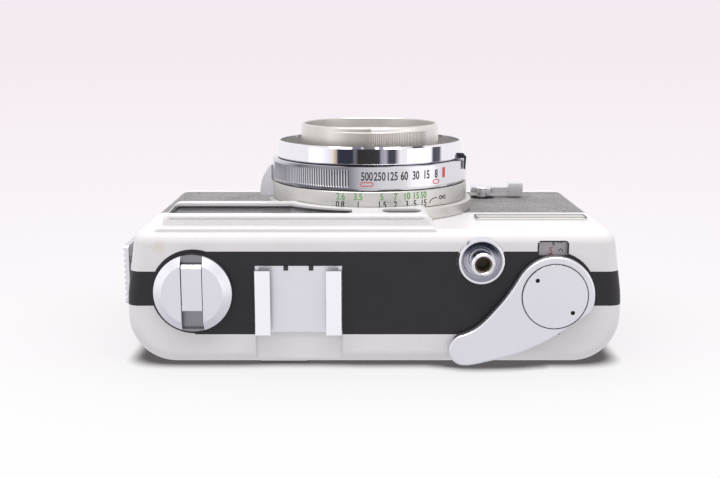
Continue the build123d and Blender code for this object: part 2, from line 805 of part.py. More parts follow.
with BuildPart() as accessory_shoe:
    add(block(shoe_range, (shoe_front, shoe_back), (band_floor, shoe_floor_top)))
    for side in (-1, 1):
        outer = shoe_x + side * shoe_wide / 2
        web = sorted((outer, outer - side * shoe_sheet))
        lip = sorted((outer, outer - side * shoe_rail))
        add(block(web, (shoe_front + 0.6, shoe_back), (band_floor, rail_top)))
        add(block(lip, (shoe_front + 0.6, shoe_back), (rail_under, rail_top)))
    for side in (-1, 1):
        notch = shoe_x + side * shoe_notch
        cut = (notch - 0.55, notch + 0.55)
        add(block(cut, (shoe_front - 1, shoe_front + 1.1), (60, 70)), mode=Mode.SUBTRACT)
    bend = accessory_shoe.edges().filter_by(Axis.Y).group_by(Axis.Z)[-1]
    fillet([e for e in bend if abs(e.center().X - shoe_x) > shoe_wide / 2 - 0.1], 0.5)
save(accessory_shoe, "accessory_shoe")

with BuildPart() as shoe_stop:
    for side in (-1, 1):
        notch = shoe_x + side * shoe_notch
        peg_x = (notch - 0.45, notch + 0.45)
        add(block(peg_x, (shoe_front, shoe_front + 1.0), (band_floor, shoe_floor_top + 0.4)))
save(shoe_stop, "shoe_stop")

# ---- viewfinder, light meter and the brightness window ---------------------------

glass_front = housing_front + window_recess
frame_front = housing_front + housing_lean + 0.1
frame_opening_x = (window_x[0] + window_frame, window_x[1] - window_frame)
frame_opening_z = (window_z[0] + window_frame, window_z[1] - window_frame)

with BuildPart() as finder_window_frame:
    add(window_panel(window_x, window_z, glass_front + 0.8, frame_front, 1.2))
    with BuildPart(mode=Mode.PRIVATE) as frame_opening:
        add(front_panel(frame_opening_x, frame_opening_z, -15, -21, 0.8))
        inner_arch = arch_r + wall + window_frame
        add(front_rod(lens_x, lens_z, inner_arch, -14, -22), mode=Mode.SUBTRACT)
    add(frame_opening.part, mode=Mode.SUBTRACT)
save(finder_window_frame, "finder_window_frame")

with BuildPart() as finder_window_glass:
    add(front_panel(frame_opening_x, frame_opening_z, glass_front + 0.8, glass_front, 0.8))
    add(frame_opening.part, mode=Mode.INTERSECT)
save(finder_window_glass, "finder_window_glass")

tube_x = (16.8, 25.8)
tube_z = (54.4, 63.6)
tube_bore_x = (18.2, 24.4)
tube_bore_z = (55.6, 62.6)
tube_front = -13.6
tube_back = 12.9

with BuildPart() as frame_line_screen:
    add(front_panel(frame_opening_x, (49.6, 60.0), -16.3, -17.3, 0.6))
    add(frame_opening.part, mode=Mode.INTERSECT)
    add(front_panel(tube_bore_x, grown(tube_bore_z, -1.4), -15, -19, 0.6), mode=Mode.SUBTRACT)
save(frame_line_screen, "frame_line_screen")

with BuildPart() as finder_tube:
    add(block(tube_x, (tube_front, tube_back), tube_z))
    add(block(tube_bore_x, (-20, 20), tube_bore_z), mode=Mode.SUBTRACT)
save(finder_tube, "finder_tube")

with BuildPart() as objective_lens:
    add(block(tube_bore_x, (tube_front, tube_front + 3.0), tube_bore_z))
    fillet(objective_lens.faces().sort_by(Axis.Y)[0].edges().filter_by(Axis.Z), 0.8)
save(objective_lens, "objective_lens")

with BuildPart() as eyepiece_frame:
    add(front_panel(eye_x, eye_z, 16.2, 13.4, 1.0))
    add(front_panel(grown(eye_x, -1.2), grown(eye_z, -1.2), 17, 13, 0.6), mode=Mode.SUBTRACT)
save(eyepiece_frame, "eyepiece_frame")

with BuildPart() as eyepiece_lens:
    add(front_panel(grown(eye_x, -1.2), grown(eye_z, -1.2), 15.4, 13.6, 0.6))
save(eyepiece_lens, "eyepiece_lens")

with BuildPart() as cds_window:
    cds_face = housing_front + 0.9
    add(front_panel(cds_x_range, cds_z_range, cds_face + 1.2, cds_face, cds_high / 2 - 0.01))
save(cds_window, "cds_window")

with BuildPart() as light_cell:
    add(front_panel(grown(cds_x_range, -1.5), grown(cds_z_range, -0.5), -16.2, -17.6, 1.6))
save(light_cell, "light_cell")

meter_x = -1.0
meter_y = -1.2
meter_r = 6.2

with BuildPart() as meter_movement:
    add(rod(meter_x, meter_y, meter_r, casting_top, 61.5))
    add(rod(meter_x, meter_y, 1.2, 61.5, 62.6))
    fillet(meter_movement.edges().group_by(Axis.Z)[-1], 0.3)
save(meter_movement, "meter_movement")

badge_x = (-52.0, -24.6)
badge_z = (45.5, 51.3)

with BuildPart() as badge_plate:
    add(front_panel(badge_x, badge_z, front_y, front_y - 0.5, 1.6))
    fillet(badge_plate.faces().sort_by(Axis.Y)[0].edges(), 0.2)
save(badge_plate, "badge_plate")

# ---- strap lug --------------------------------------------------------------------

lug_centre_x = -(half_width_middle + 1.7)
lug_outer_r = 1.9
lug_bore_r = 1.0
lug_thick = 1.6

with BuildPart() as strap_lug:
    with BuildSketch(front_plane(lug_centre_x, lug_z, lug_y + lug_thick / 2)):
        Circle(lug_outer_r)
        Circle(lug_bore_r, mode=Mode.SUBTRACT)
    extrude(amount=lug_thick)
    neck = Plane(origin=(-lug_root_x - 0.1, lug_y, lug_z), x_dir=(0, 1, 0), z_dir=(-1, 0, 0))
    with BuildSketch(neck):
        Circle(lug_neck_r - 0.05)
    extrude(amount=abs(lug_centre_x) - lug_bore_r - lug_root_x - 0.5)
save(strap_lug, "strap_lug")

# ---- lens: flange, shutter barrel, glass and the turning rings -----------------------

flange_back = lens_seat_y - front_y
flange_front = 3.5
focus_range = (3.6, 7.7)
speed_range = (7.9, 13.7)
chrome_range = (13.9, 18.2)
barrel_front = 15.6
filter_front = 22.3
filter_thread_r = 16.6


def lens_turned(profile):
    """Turned about the lens axis, from pairs of radius and distance in front of the body."""
    return turned(lens_section, lens_axis, profile)


with BuildPart() as lens_flange:
    add(
        lens_turned(
            [
                (boss_r - 2, flange_back),
                (flange_r - 0.2, flange_back),
                (flange_r, flange_back + 0.2),
                (flange_r, flange_front - 0.5),
                (flange_r - 0.5, flange_front),
                (boss_r - 2, flange_front),
            ]
        )
    )
save(lens_flange, "lens_flange")

with BuildPart() as shutter_barrel:
    add(
        lens_turned(
            [
                (12.9, -4.9),
                (boss_r, -4.9),
                (boss_r, flange_back - 0.1),
                (boss_r - 2.05, flange_back - 0.1),
                (boss_r - 2.05, flange_front + 0.02),
                (barrel_r, flange_front + 0.02),
                (barrel_r, 14.6),
                (filter_thread_r + 1.2, 14.6),
                (filter_thread_r + 1.2, barrel_front),
                (filter_thread_r, barrel_front),
                (filter_thread_r, 11.0),
                (12.9, 11.0),
            ]
        )
    )
save(shutter_barrel, "shutter_barrel")

with BuildPart() as aperture_blades:
    add(
        lens_turned(
            [(4.2, 2.6), (12.8, 2.6), (12.8, 3.4), (4.2, 3.4)],
        )
    )
save(aperture_blades, "aperture_blades")


def lens_element(radius, back, front, back_bulge, front_bulge):
    """Glass element with two bulging faces, between two edge distances."""
    with BuildPart() as glass:
        with BuildSketch(lens_section):
            with BuildLine():
                Line((0, back - back_bulge), (0, front + front_bulge))
                Spline(
                    (0, front + front_bulge),
                    (radius, front),
                    tangents=((1, 0), (radius, -2 * front_bulge)),
                )
                Line((radius, front), (radius, back))
                Spline(
                    (radius, back),
                    (0, back - back_bulge),
                    tangents=((-radius, -2 * back_bulge), (-1, 0)),
                )
            make_face()
        revolve(axis=lens_axis)
    return glass


front_lens = lens_element(11.4, 7.0, 10.2, 0.8, 2.4)
save(front_lens, "front_lens")
rear_lens = lens_element(9.6, -3.8, -0.6, 1.6, 0.6)
save(rear_lens, "rear_lens")

with BuildPart() as front_lens_ring:
    add(
        lens_turned(
            [
                (11.45, 7.0),
                (12.85, 7.0),
                (12.85, 11.05),
                (filter_thread_r - 0.05, 11.05),
                (filter_thread_r - 0.05, 13.4),
                (15.6, 13.4),
                (11.45, 10.4),
            ]
        )
    )
save(front_lens_ring, "front_lens_ring")

with BuildPart() as rear_lens_cell:
    add(
        lens_turned(
            [(9.65, -4.9), (12.85, -4.9), (12.85, 0), (10.6, 0), (10.6, -0.5), (9.65, -0.5)]
        )
    )
save(rear_lens_cell, "rear_lens_cell")

ring_bore = barrel_r + run_gap
tab_half = 2.6
index_half = 1.5
index_angle = 162

with BuildPart() as focus_ring:
    near, far = focus_range
    add(
        lens_turned(
            [
                (ring_bore, near),
                (ring_r, near),
                (ring_r, far - 0.2),
                (ring_r - 0.2, far),
                (ring_bore, far),
            ]
        )
    )
    with BuildSketch(lens_section.offset(-tab_half)):
        with BuildLine():
            Polyline((26.0, 11.3), (25.45, 11.3), (25.45, far), (ring_r - 0.6, far - 0.3))
            Polyline((ring_r - 0.6, far - 0.3), (ring_r - 0.6, near), (27.9, near))
            Spline((27.9, near), (28.4, 5.4), (27.6, 8.6), (26.0, 11.3), tangents=((1, 0.3), (-0.6, 1)))
        make_face()
    extrude(amount=2 * tab_half)
save(focus_ring, "focus_ring")

with BuildPart() as speed_ring:
    near, far = speed_range
    add(
        lens_turned(
            [
                (ring_bore, near),
                (ring_r - 0.3, near),
                (ring_r, near + 0.3),
                (ring_r, far - 0.4),
                (ring_r - 0.4, far),
                (ring_bore, far),
            ]
        )
    )
save(speed_ring, "speed_ring")

with BuildPart() as aperture_ring:
    near, far = chrome_range
    add(
        lens_turned(
            [
                (ring_bore, near),
                (chrome_r - 0.3, near),
                (chrome_r, near + 0.3),
                (chrome_r, far - 0.45),
                (chrome_r - 0.35, far),
                (chrome_r - 0.75, far),
                (chrome_r - 0.95, far - 0.3),
                (chrome_r - 1.1, 15.4),
                (ring_bore, 15.2),
            ]
        )
    )
    with BuildPart(mode=Mode.PRIVATE) as index_finger:
        with BuildSketch(lens_section.offset(-index_half)):
            with BuildLine():
                root = chrome_r - 0.4
                Polyline((root, 15.3), (root, 14.0), (25.4, 14.0), (25.4, 11.2), (25.8, 11.2))
                Polyline((25.8, 11.2), (26.0, 14.4), (25.2, 15.3), (root, 15.3))
            make_face()
        extrude(amount=2 * index_half)
    add(index_finger.part.rotate(lens_axis, index_angle))
save(aperture_ring, "aperture_ring")

with BuildPart() as filter_ring:
    add(
        lens_turned(
            [
                (filter_thread_r - 0.9, 13.6),
                (filter_thread_r - 0.08, 13.6),
                (filter_thread_r - 0.08, barrel_front + 0.1),
                (filter_r, barrel_front + 0.1),
                (filter_r, filter_front - 1.0),
                (filter_r - 0.75, filter_front - 0.05),
                (filter_r - 0.95, filter_front),
                (filter_r - 1.1, 19.4),
                (filter_thread_r - 0.9, 19.4),
            ]
        )
    )
    add(
        lens_turned(
            [
                (14.6, 16.6),
                (filter_thread_r - 0.8, 16.6),
                (filter_thread_r - 0.8, 17.2),
                (14.6, 17.2),
            ]
        )
    )
save(filter_ring, "filter_ring")

with BuildPart() as filter_glass:
    add(
        lens_turned(
            [
                (0, 17.2),
                (filter_thread_r - 0.95, 17.2),
                (filter_thread_r - 0.95, 18.9),
                (0, 18.9),
            ]
        )
    )
save(filter_glass, "filter_glass")

with BuildPart() as sync_terminal:
    add(front_rod(sync_x, sync_z, 2.15, -11.2, front_y - 2.4))
    add(front_rod(sync_x, sync_z, 2.85, front_y + 1.0, front_y - 0.8))
    add(front_rod(sync_x, sync_z, 1.5, -15.0, -20), mode=Mode.SUBTRACT)
    add(front_rod(sync_x, sync_z, 0.5, -14.8, front_y - 1.8))
save(sync_terminal, "sync_terminal")

# ---- self-timer lever ---------------------------------------------------------------

timer_reach = 11.0
timer_hub_r = 3.3
timer_back = front_y - 1.5
timer_front = front_y - 3.1
timer_tip = (timer_x - timer_reach, timer_x - timer_reach + 4.0)

with BuildPart() as self_timer_lever:
    add(front_rod(timer_x, timer_z, timer_post_r, -10.4, timer_back))
    add(front_rod(timer_x, timer_z, timer_hub_r, timer_back, timer_front))
    fillet(self_timer_lever.edges().group_by(Axis.Y)[0], 0.4)
    add(block((timer_tip[0] + 1, timer_x), (timer_front + 0.3, timer_back), (timer_z - 1.7, timer_z + 1.7)))
    add(block(timer_tip, (timer_front - 0.9, timer_back + 0.9), (timer_z - 2.3, timer_z + 2.3)))
save(self_timer_lever, "self_timer_lever")

# ---- back door, its leather, pressure plate and hinge pin --------------------------------

inlay_depth = 0.6
inlay_z = (7.6, 50.8)
inlay_from = 8.6

with BuildPart() as inlay_layer:
    add(body_prism(0, *inlay_z))
    add(body_prism(inlay_depth, *inlay_z), mode=Mode.SUBTRACT)
    add(block((-70, 70), (inlay_from, 20), (0, 60)), mode=Mode.INTERSECT)

with BuildPart() as door_leather:
    add(inlay_layer.part)
save(door_leather, "door_leather")

knuckle_pairs = ((hinge_low, knuckle_z[0] - 0.1), (knuckle_z[1] + 0.1, hinge_high - 1.0))

with BuildPart() as back_door:
    add(body_prism(0, door_low, door_high))
    add(body_prism(door_wall, door_low + 1.3, door_high - 1.3), mode=Mode.SUBTRACT)
    add(block((-70, 70), (split_y, 20), (0, 60)), mode=Mode.INTERSECT)
    add(inlay_layer.part, mode=Mode.SUBTRACT)
    for low, high in knuckle_pairs:
        add(rod(hinge_x, hinge_y, hinge_r, low, high))
        add(block((hinge_x, -56.4), (split_y + 0.05, split_y + 1.6), (low, high)))
    add(rod(hinge_x, hinge_y, hinge_pin_r, 0, 60), mode=Mode.SUBTRACT)
    add(rod(hinge_x, hinge_y, hinge_r + gap, *grown(knuckle_z, 0.05)), mode=Mode.SUBTRACT)
save(back_door, "back_door")

with BuildPart() as hinge_pin:
    add(rod(hinge_x, hinge_y, hinge_pin_r, hinge_low, hinge_high - 1.0))
save(hinge_pin, "hinge_pin")

plate_x = (-10.0, 26.0)
plate_y = (film_y + 0.3, film_y + 1.4)
plate_z = (lens_z - 18.5, lens_z + 18.5)

with BuildPart() as pressure_plate:
    add(block(plate_x, plate_y, plate_z))
    fillet(pressure_plate.edges().filter_by(Axis.Y), 2.0)
save(pressure_plate, "pressure_plate")

with BuildPart() as pressure_spring:
    arch_plane = Plane(origin=(0, 0, lens_z - 3), x_dir=(1, 0, 0), z_dir=(0, 0, 1))
    with BuildSketch(arch_plane):
        with BuildLine():
            outer = ThreePointArc((-18.0, 13.6), (8.0, plate_y[1] + 0.02), (34.0, 13.6))
            offset(outer, amount=0.35, side=Side.LEFT)
        make_face()
    extrude(amount=6)
save(pressure_spring, "pressure_spring")

# ---- door latch -------------------------------------------------------------------------

latch_plate_x = (57.6, 58.75)
latch_low = 43.0
latch_high = 60.5
groove_pitch = 1.35
groove_half = 0.3
groove_rows = 12
groove_columns = 9

with BuildPart() as back_latch:
    plate_span = (latch_y - latch_wide / 2, latch_y + latch_wide / 2)
    add(block(latch_plate_x, plate_span, (latch_low, latch_high)))
    fillet(back_latch.edges().filter_by(Axis.X), 0.8)
    groove_x = (latch_plate_x[1] - 0.4, 60)
    for step in range(groove_rows):
        middle = (latch_low + latch_high) / 2 + groove_pitch * (step - (groove_rows - 1) / 2)
        groove_z = (middle - groove_half, middle + groove_half)
        add(block(groove_x, (-20, 20), groove_z), mode=Mode.SUBTRACT)
    for step in range(groove_columns):
        middle = latch_y + groove_pitch * (step - (groove_columns - 1) / 2)
        groove_y = (middle - groove_half, middle + groove_half)
        add(block(groove_x, groove_y, (40, 70)), mode=Mode.SUBTRACT)
    add(block((53.4, 57.8), (latch_y - 2.0, latch_y + 2.0), (56.4, 59.0)))
    add(block((53.2, 54.4), (latch_y - 4.0, split_y - 0.4), (56.3, 59.4)))
save(back_latch, "back_latch")
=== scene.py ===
"""Looks of the half frame camera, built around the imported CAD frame.

All lengths are written in millimetres and multiplied by MM, because Blender works in metres.
The camera stands upright: +Z up, the lens looks towards -Y, +X is the rewind side.
"""

from math import atan2, cos, pi, radians, sin, tan

import bmesh
import bpy
from mathutils import Matrix, Vector


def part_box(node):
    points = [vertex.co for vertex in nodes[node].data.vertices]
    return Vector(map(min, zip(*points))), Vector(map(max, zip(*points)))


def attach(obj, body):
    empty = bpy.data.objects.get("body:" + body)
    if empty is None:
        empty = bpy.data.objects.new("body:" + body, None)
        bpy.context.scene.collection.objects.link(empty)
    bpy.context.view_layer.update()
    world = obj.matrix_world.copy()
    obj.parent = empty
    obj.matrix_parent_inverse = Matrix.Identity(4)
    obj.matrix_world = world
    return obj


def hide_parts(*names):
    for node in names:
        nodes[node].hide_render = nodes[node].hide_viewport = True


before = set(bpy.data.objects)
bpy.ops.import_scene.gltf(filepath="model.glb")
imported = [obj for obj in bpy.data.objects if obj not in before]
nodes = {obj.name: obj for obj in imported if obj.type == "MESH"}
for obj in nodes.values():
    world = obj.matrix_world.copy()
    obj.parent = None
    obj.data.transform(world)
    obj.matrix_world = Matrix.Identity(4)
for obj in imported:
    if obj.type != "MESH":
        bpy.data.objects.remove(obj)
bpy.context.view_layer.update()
MM = 0.001


def mm_box(node):
    """Lowest and highest corner of a CAD node, in millimetres."""
    low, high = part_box(node)
    return low / MM, high / MM


# ---- places read from the frame --------------------------------------------

flange_low, flange_high = mm_box("lens_flange")
LENS_X = (flange_low.x + flange_high.x) / 2
LENS_Z = (flange_low.z + flange_high.z) / 2
FRONT_Y = flange_high.y
hub_low, hub_high = mm_box("lever_cap")
HUB_X = (hub_low.x + hub_high.x) / 2
HUB_Y = (hub_low.y + hub_high.y) / 2


def ring_span(node):
    """Outer radius and the near and far distances from the body of a ring on the lens axis."""
    low, high = mm_box(node)
    return (high.z - low.z) / 2, FRONT_Y - high.y, FRONT_Y - low.y


# ---- node tools ----------------------------------------------------------------


class Shader:
    """One node material, with short calls for the nodes that the finishes share."""

    def __init__(self, name, color=(0.8, 0.8, 0.8), metallic=0.0, roughness=0.5):
        self.material = bpy.data.materials.new(name)
        self.material.use_nodes = True
        self.tree = self.material.node_tree
        self.bsdf = self.tree.nodes["Principled BSDF"]
        self.set("Base Color", (*color, 1))
        self.set("Metallic", metallic)
        self.set("Roughness", roughness)

    def set(self, name, value):
        self.bsdf.inputs[name].default_value = value

    def node(self, kind, **values):
        made = self.tree.nodes.new(kind)
        for key, value in values.items():
            setattr(made, key, value)
        return made

    def link(self, start, end):
        self.tree.links.new(start, end)

    def place(self, stretch=(1, 1, 1), turn=(0, 0, 0)):
        """Object coordinates, stretched and turned."""
        coordinates = self.node("ShaderNodeTexCoord")
        mapping = self.node("ShaderNodeMapping")
        mapping.inputs["Scale"].default_value = stretch
        mapping.inputs["Rotation"].default_value = turn
        self.link(coordinates.outputs["Object"], mapping.inputs["Vector"])
        return mapping.outputs["Vector"]

    def noise(self, size, stretch=(1, 1, 1), detail=4.0, rough=0.55):
        """Noise value whose blobs are about size millimetres across."""
        texture = self.node("ShaderNodeTexNoise")
        texture.inputs["Scale"].default_value = 1 / (size * MM)
        texture.inputs["Detail"].default_value = detail
        texture.inputs["Roughness"].default_value = rough
        self.link(self.place(stretch), texture.inputs["Vector"])
        return texture.outputs["Fac"]

    def cells(self, size, feature="F1", stretch=(1, 1, 1)):
        """Distance in a cell pattern whose cells are about size millimetres across."""
        texture = self.node("ShaderNodeTexVoronoi", feature=feature)
        texture.inputs["Scale"].default_value = 1 / (size * MM)
        self.link(self.place(stretch), texture.inputs["Vector"])
        return texture.outputs["Distance"]

    def remap(self, value, low, high, out_low, out_high):
        ranged = self.node("ShaderNodeMapRange")
        for name, number in zip(("From Min", "From Max", "To Min", "To Max"), (low, high, out_low, out_high)):
            ranged.inputs[name].default_value = number
        self.link(value, ranged.inputs["Value"])
        return ranged.outputs["Result"]

    def mix(self, factor, first, second):
        """Colour between two colours or colour outputs."""
        mixer = self.node("ShaderNodeMix", data_type="RGBA")
        self.link(factor, mixer.inputs["Factor"])
        for socket, value in ((mixer.inputs[6], first), (mixer.inputs[7], second)):
            if isinstance(value, tuple):
                socket.default_value = (*value, 1)
            else:
                self.link(value, socket)
        return mixer.outputs[2]

    def math(self, operation, first, second=None):
        calculated = self.node("ShaderNodeMath", operation=operation)
        for socket, value in zip(calculated.inputs, (first, second)):
            if value is None:
                continue
            if isinstance(value, (int, float)):
                socket.default_value = value
            else:
                self.link(value, socket)
        return calculated.outputs[0]

    def bump(self, *layers):
        """Stacks bump layers given as (height output, strength, distance in millimetres)."""
        normal = None
        for height, strength, distance in layers:
            bumped = self.node("ShaderNodeBump")
            bumped.inputs["Strength"].default_value = strength
            bumped.inputs["Distance"].default_value = distance * MM
            self.link(height, bumped.inputs["Height"])
            if normal is not None:
                self.link(normal, bumped.inputs["Normal"])
            normal = bumped.outputs["Normal"]
        self.link(normal, self.bsdf.inputs["Normal"])

    def edge_mask(self, radius=0.25, low=0.02, high=0.25):
        """Near 1 along sharp edges and 0 on flats."""
        bevel = self.node("ShaderNodeBevel", samples=4)
        bevel.inputs["Radius"].default_value = radius * MM
        geometry = self.node("ShaderNodeNewGeometry")
        dot = self.node("ShaderNodeVectorMath", operation="DOT_PRODUCT")
        self.link(bevel.outputs["Normal"], dot.inputs[0])
        self.link(geometry.outputs["Normal"], dot.inputs[1])
        return self.remap(self.math("SUBTRACT", 1.0, dot.outputs["Value"]), low, high, 0, 1)

    def painted_reflection_round_lens(self, stops):
        """Painted reflection: colours of the set by the way a mirror ray turns round the lens axis, in degrees
        from the top, for multiplying into a base colour.
        """
        coordinates = self.node("ShaderNodeTexCoord")
        parts = self.node("ShaderNodeSeparateXYZ")
        self.link(coordinates.outputs["Reflection"], parts.inputs[0])
        turn = self.math("ARCTAN2", parts.outputs["X"], parts.outputs["Z"])
        bands = self.node("ShaderNodeValToRGB")
        ramp = bands.color_ramp
        while len(ramp.elements) < len(stops):
            ramp.elements.new(0.5)
        for element, (angle, color) in zip(ramp.elements, stops):
            element.position = (angle + 180) / 360
            element.color = (*color, 1)
        self.link(self.remap(turn, -pi, pi, 0, 1), bands.inputs[0])
        return bands.outputs["Color"]

    def tinted(self, color, tint):
        """Colour output multiplied by another colour output."""
        mixer = self.node("ShaderNodeMix", data_type="RGBA", blend_type="MULTIPLY")
        mixer.inputs["Factor"].default_value = 1.0
        self.link(color, mixer.inputs[6])
        self.link(tint, mixer.inputs[7])
        return mixer.outputs[2]

    def near_point(self, point, radius):
        """Near 1 at a point given in millimetres, falling to 0 at the radius."""
        coordinates = self.node("ShaderNodeTexCoord")
        distance = self.node("ShaderNodeVectorMath", operation="DISTANCE")
        self.link(coordinates.outputs["Object"], distance.inputs[0])
        distance.inputs[1].default_value = [value * MM for value in point]
        return self.remap(distance.outputs["Value"], 0, radius * MM, 1, 0)


# ---- finishes --------------------------------------------------------------------


def painted_cover():
    paint = Shader("cover_paint", metallic=0.0, roughness=0.32)
    cloud = paint.noise(9.0, detail=3)
    base = paint.mix(cloud, (0.715, 0.70, 0.705), (0.77, 0.755, 0.76))
    grime = paint.remap(paint.noise(2.2, detail=6), 0.56, 0.78, 0, 0.35)
    base = paint.mix(grime, base, (0.70, 0.66, 0.60))
    stain_shape = paint.math("MULTIPLY", paint.near_point((49.5, -12.2, 65.3), 3.2), paint.noise(0.8))
    stain = paint.remap(stain_shape, 0.18, 0.5, 0, 0.6)
    base = paint.mix(stain, base, (0.62, 0.50, 0.28))
    worn = paint.math("MULTIPLY", paint.edge_mask(0.3), paint.remap(paint.noise(1.2), 0.45, 0.62, 0, 0.7))
    base = paint.mix(worn, base, (0.58, 0.54, 0.50))
    paint.link(base, paint.bsdf.inputs["Base Color"])
    paint.link(paint.remap(paint.noise(1.6), 0.3, 0.7, 0.26, 0.42), paint.bsdf.inputs["Roughness"])
    paint.bump((paint.noise(0.28, detail=2), 0.05, 0.05), (paint.noise(4.0), 0.03, 0.2))
    paint.set("Coat Weight", 0.25)
    paint.set("Coat Roughness", 0.18)
    return paint.material


def black_enamel():
    paint = Shader("band_enamel", roughness=0.42)
    base = paint.mix(paint.noise(5.0, detail=5), (0.014, 0.013, 0.017), (0.024, 0.022, 0.027))
    worn = paint.math("MULTIPLY", paint.edge_mask(0.2), paint.remap(paint.noise(0.9), 0.5, 0.62, 0, 0.8))
    base = paint.mix(worn, base, (0.20, 0.19, 0.18))
    paint.link(base, paint.bsdf.inputs["Base Color"])
    scuffs = paint.noise(0.5, stretch=(0.35, 1, 1), detail=6)
    paint.link(paint.remap(scuffs, 0.35, 0.7, 0.34, 0.56), paint.bsdf.inputs["Roughness"])
    paint.bump((paint.noise(0.22, detail=2), 0.08, 0.04))
    paint.set("Specular IOR Level", 0.3)
    return paint.material


def pebbled_leather():
    hide = Shader("pebbled_leather", roughness=0.55)
    pebble = hide.cells(1.0, "SMOOTH_F1")
    crease = hide.cells(1.0, "DISTANCE_TO_EDGE")
    tone = hide.mix(hide.remap(crease, 0.0, 0.16, 0, 1), (0.05, 0.046, 0.047), (0.24, 0.225, 0.23))
    tone = hide.mix(hide.remap(hide.noise(6.0), 0.4, 0.7, 0, 0.5), tone, (0.30, 0.28, 0.28))
    hide.link(tone, hide.bsdf.inputs["Base Color"])
    hide.link(hide.remap(hide.noise(0.5), 0.3, 0.7, 0.45, 0.68), hide.bsdf.inputs["Roughness"])
    hide.bump((pebble, -1.0, 0.4), (hide.noise(0.15), 0.4, 0.08))
    hide.set("Sheen Weight", 0.15)
    return hide.material


def brushed(name, dark, light, roughness, stretch, grain=0.02, tint=None):
    """Satin metal with fine scratches running along the axis that stretch shrinks; a given tint table is a
    painted reflection multiplied into its colour.
    """
    metal = Shader(name, metallic=1.0, roughness=roughness)
    lines = metal.noise(0.12, stretch=stretch, detail=5, rough=0.65)
    cloud = metal.noise(7.0, detail=3)
    tone = metal.mix(metal.math("MULTIPLY", lines, cloud), dark, light)
    spots = metal.remap(metal.noise(0.7, detail=6), 0.68, 0.76, 0, 0.25)
    tone = metal.mix(spots, tone, tuple(value * 0.7 for value in dark))
    # Painted reflection: the tint bands multiply the colour.
    if tint:
        tone = metal.tinted(tone, metal.painted_reflection_round_lens(tint))
    metal.link(tone, metal.bsdf.inputs["Base Color"])
    metal.link(
        metal.remap(lines, 0.3, 0.7, roughness - 0.05, roughness + 0.05), metal.bsdf.inputs["Roughness"]
    )
    metal.bump((lines, grain, 0.03))
    return metal.material


def polished(name, color, roughness=0.05, tint=None):
    chrome = Shader(name, color, metallic=1.0, roughness=roughness)
    tone = chrome.mix(chrome.noise(3.0, detail=5), tuple(c * 0.94 for c in color), color)
    # Painted reflection: the tint bands multiply the colour.
    if tint:
        tone = chrome.tinted(tone, chrome.painted_reflection_round_lens(tint))
    chrome.link(tone, chrome.bsdf.inputs["Base Color"])
    chrome.link(
        chrome.remap(chrome.noise(0.9, detail=6), 0.45, 0.8, roughness, roughness + 0.12),
        chrome.bsdf.inputs["Roughness"],
    )
    chrome.bump((chrome.noise(5.0), 0.02, 0.1))
    return chrome.material


def dull(name, color, roughness=0.6, grain=0.4, fleck=0.25):
    """Plain moulded or blackened surface with a fine grain."""
    surface = Shader(name, color, roughness=roughness)
    other = tuple(min(1, c * (1 + fleck) + 0.004) for c in color)
    surface.link(surface.mix(surface.noise(grain * 4, detail=5), color, other), surface.bsdf.inputs["Base Color"])
    surface.link(
        surface.remap(surface.noise(grain), 0.3, 0.7, roughness - 0.08, roughness + 0.1),
        surface.bsdf.inputs["Roughness"],
    )
    surface.bump((surface.noise(grain), 0.12, 0.05))
    return surface.material


def clear_glass(name, tint, coat, mirror=0.06):
    """Thin coated glass: mostly clear, with a coloured mirror layer and a little dust."""
    glass = Shader(name, coat, metallic=1.0, roughness=0.03)
    glass.link(
        glass.remap(glass.noise(0.35, detail=6), 0.6, 0.85, 0.02, 0.2), glass.bsdf.inputs["Roughness"]
    )
    clear = glass.node("ShaderNodeBsdfTransparent")
    glass.link(
        glass.mix(glass.noise(6.0), tint, tuple(c * 0.96 for c in tint)), clear.inputs["Color"]
    )
    edge = glass.node("ShaderNodeFresnel")
    edge.inputs["IOR"].default_value = 1.45
    share = glass.math("ADD", glass.math("MULTIPLY", edge.outputs[0], 0.35), mirror)
    mixed = glass.node("ShaderNodeMixShader")
    glass.link(share, mixed.inputs[0])
    glass.link(clear.outputs[0], mixed.inputs[1])
    glass.link(glass.bsdf.outputs[0], mixed.inputs[2])
    glass.link(mixed.outputs[0], glass.tree.nodes["Material Output"].inputs["Surface"])
    return glass.material


def bowl_painted_reflection():
    """Polished bowl whose colour darkens on the wall that faces the back of the body: a painted reflection of the
    dark side of the set.
    """
    chrome = Shader("bowl_painted_reflection", metallic=1.0, roughness=0.16)
    geometry = chrome.node("ShaderNodeNewGeometry")
    parts = chrome.node("ShaderNodeSeparateXYZ")
    chrome.link(geometry.outputs["Normal"], parts.inputs[0])
    # Painted reflection: darker colour where the wall faces +Y.
    shade = chrome.remap(parts.outputs["Y"], 0.1, 0.5, 0, 1)
    tone = chrome.mix(shade, (0.80, 0.80, 0.83), (0.16, 0.18, 0.23))
    haze = chrome.mix(chrome.noise(1.2, detail=5), (0.88, 0.88, 0.9), (1.0, 1.0, 1.0))
    chrome.link(chrome.tinted(tone, haze), chrome.bsdf.inputs["Base Color"])
    return chrome.material


def ink(name, color):
    """Engraved numbers filled with paint, with small chips."""
    paint = Shader(name, color, roughness=0.5)
    chips = paint.remap(paint.noise(0.18, detail=5), 0.62, 0.72, 0, 0.55)
    paint.link(
        paint.mix(chips, color, tuple(c * 0.4 + 0.3 for c in color)), paint.bsdf.inputs["Base Color"]
    )
    return paint.material


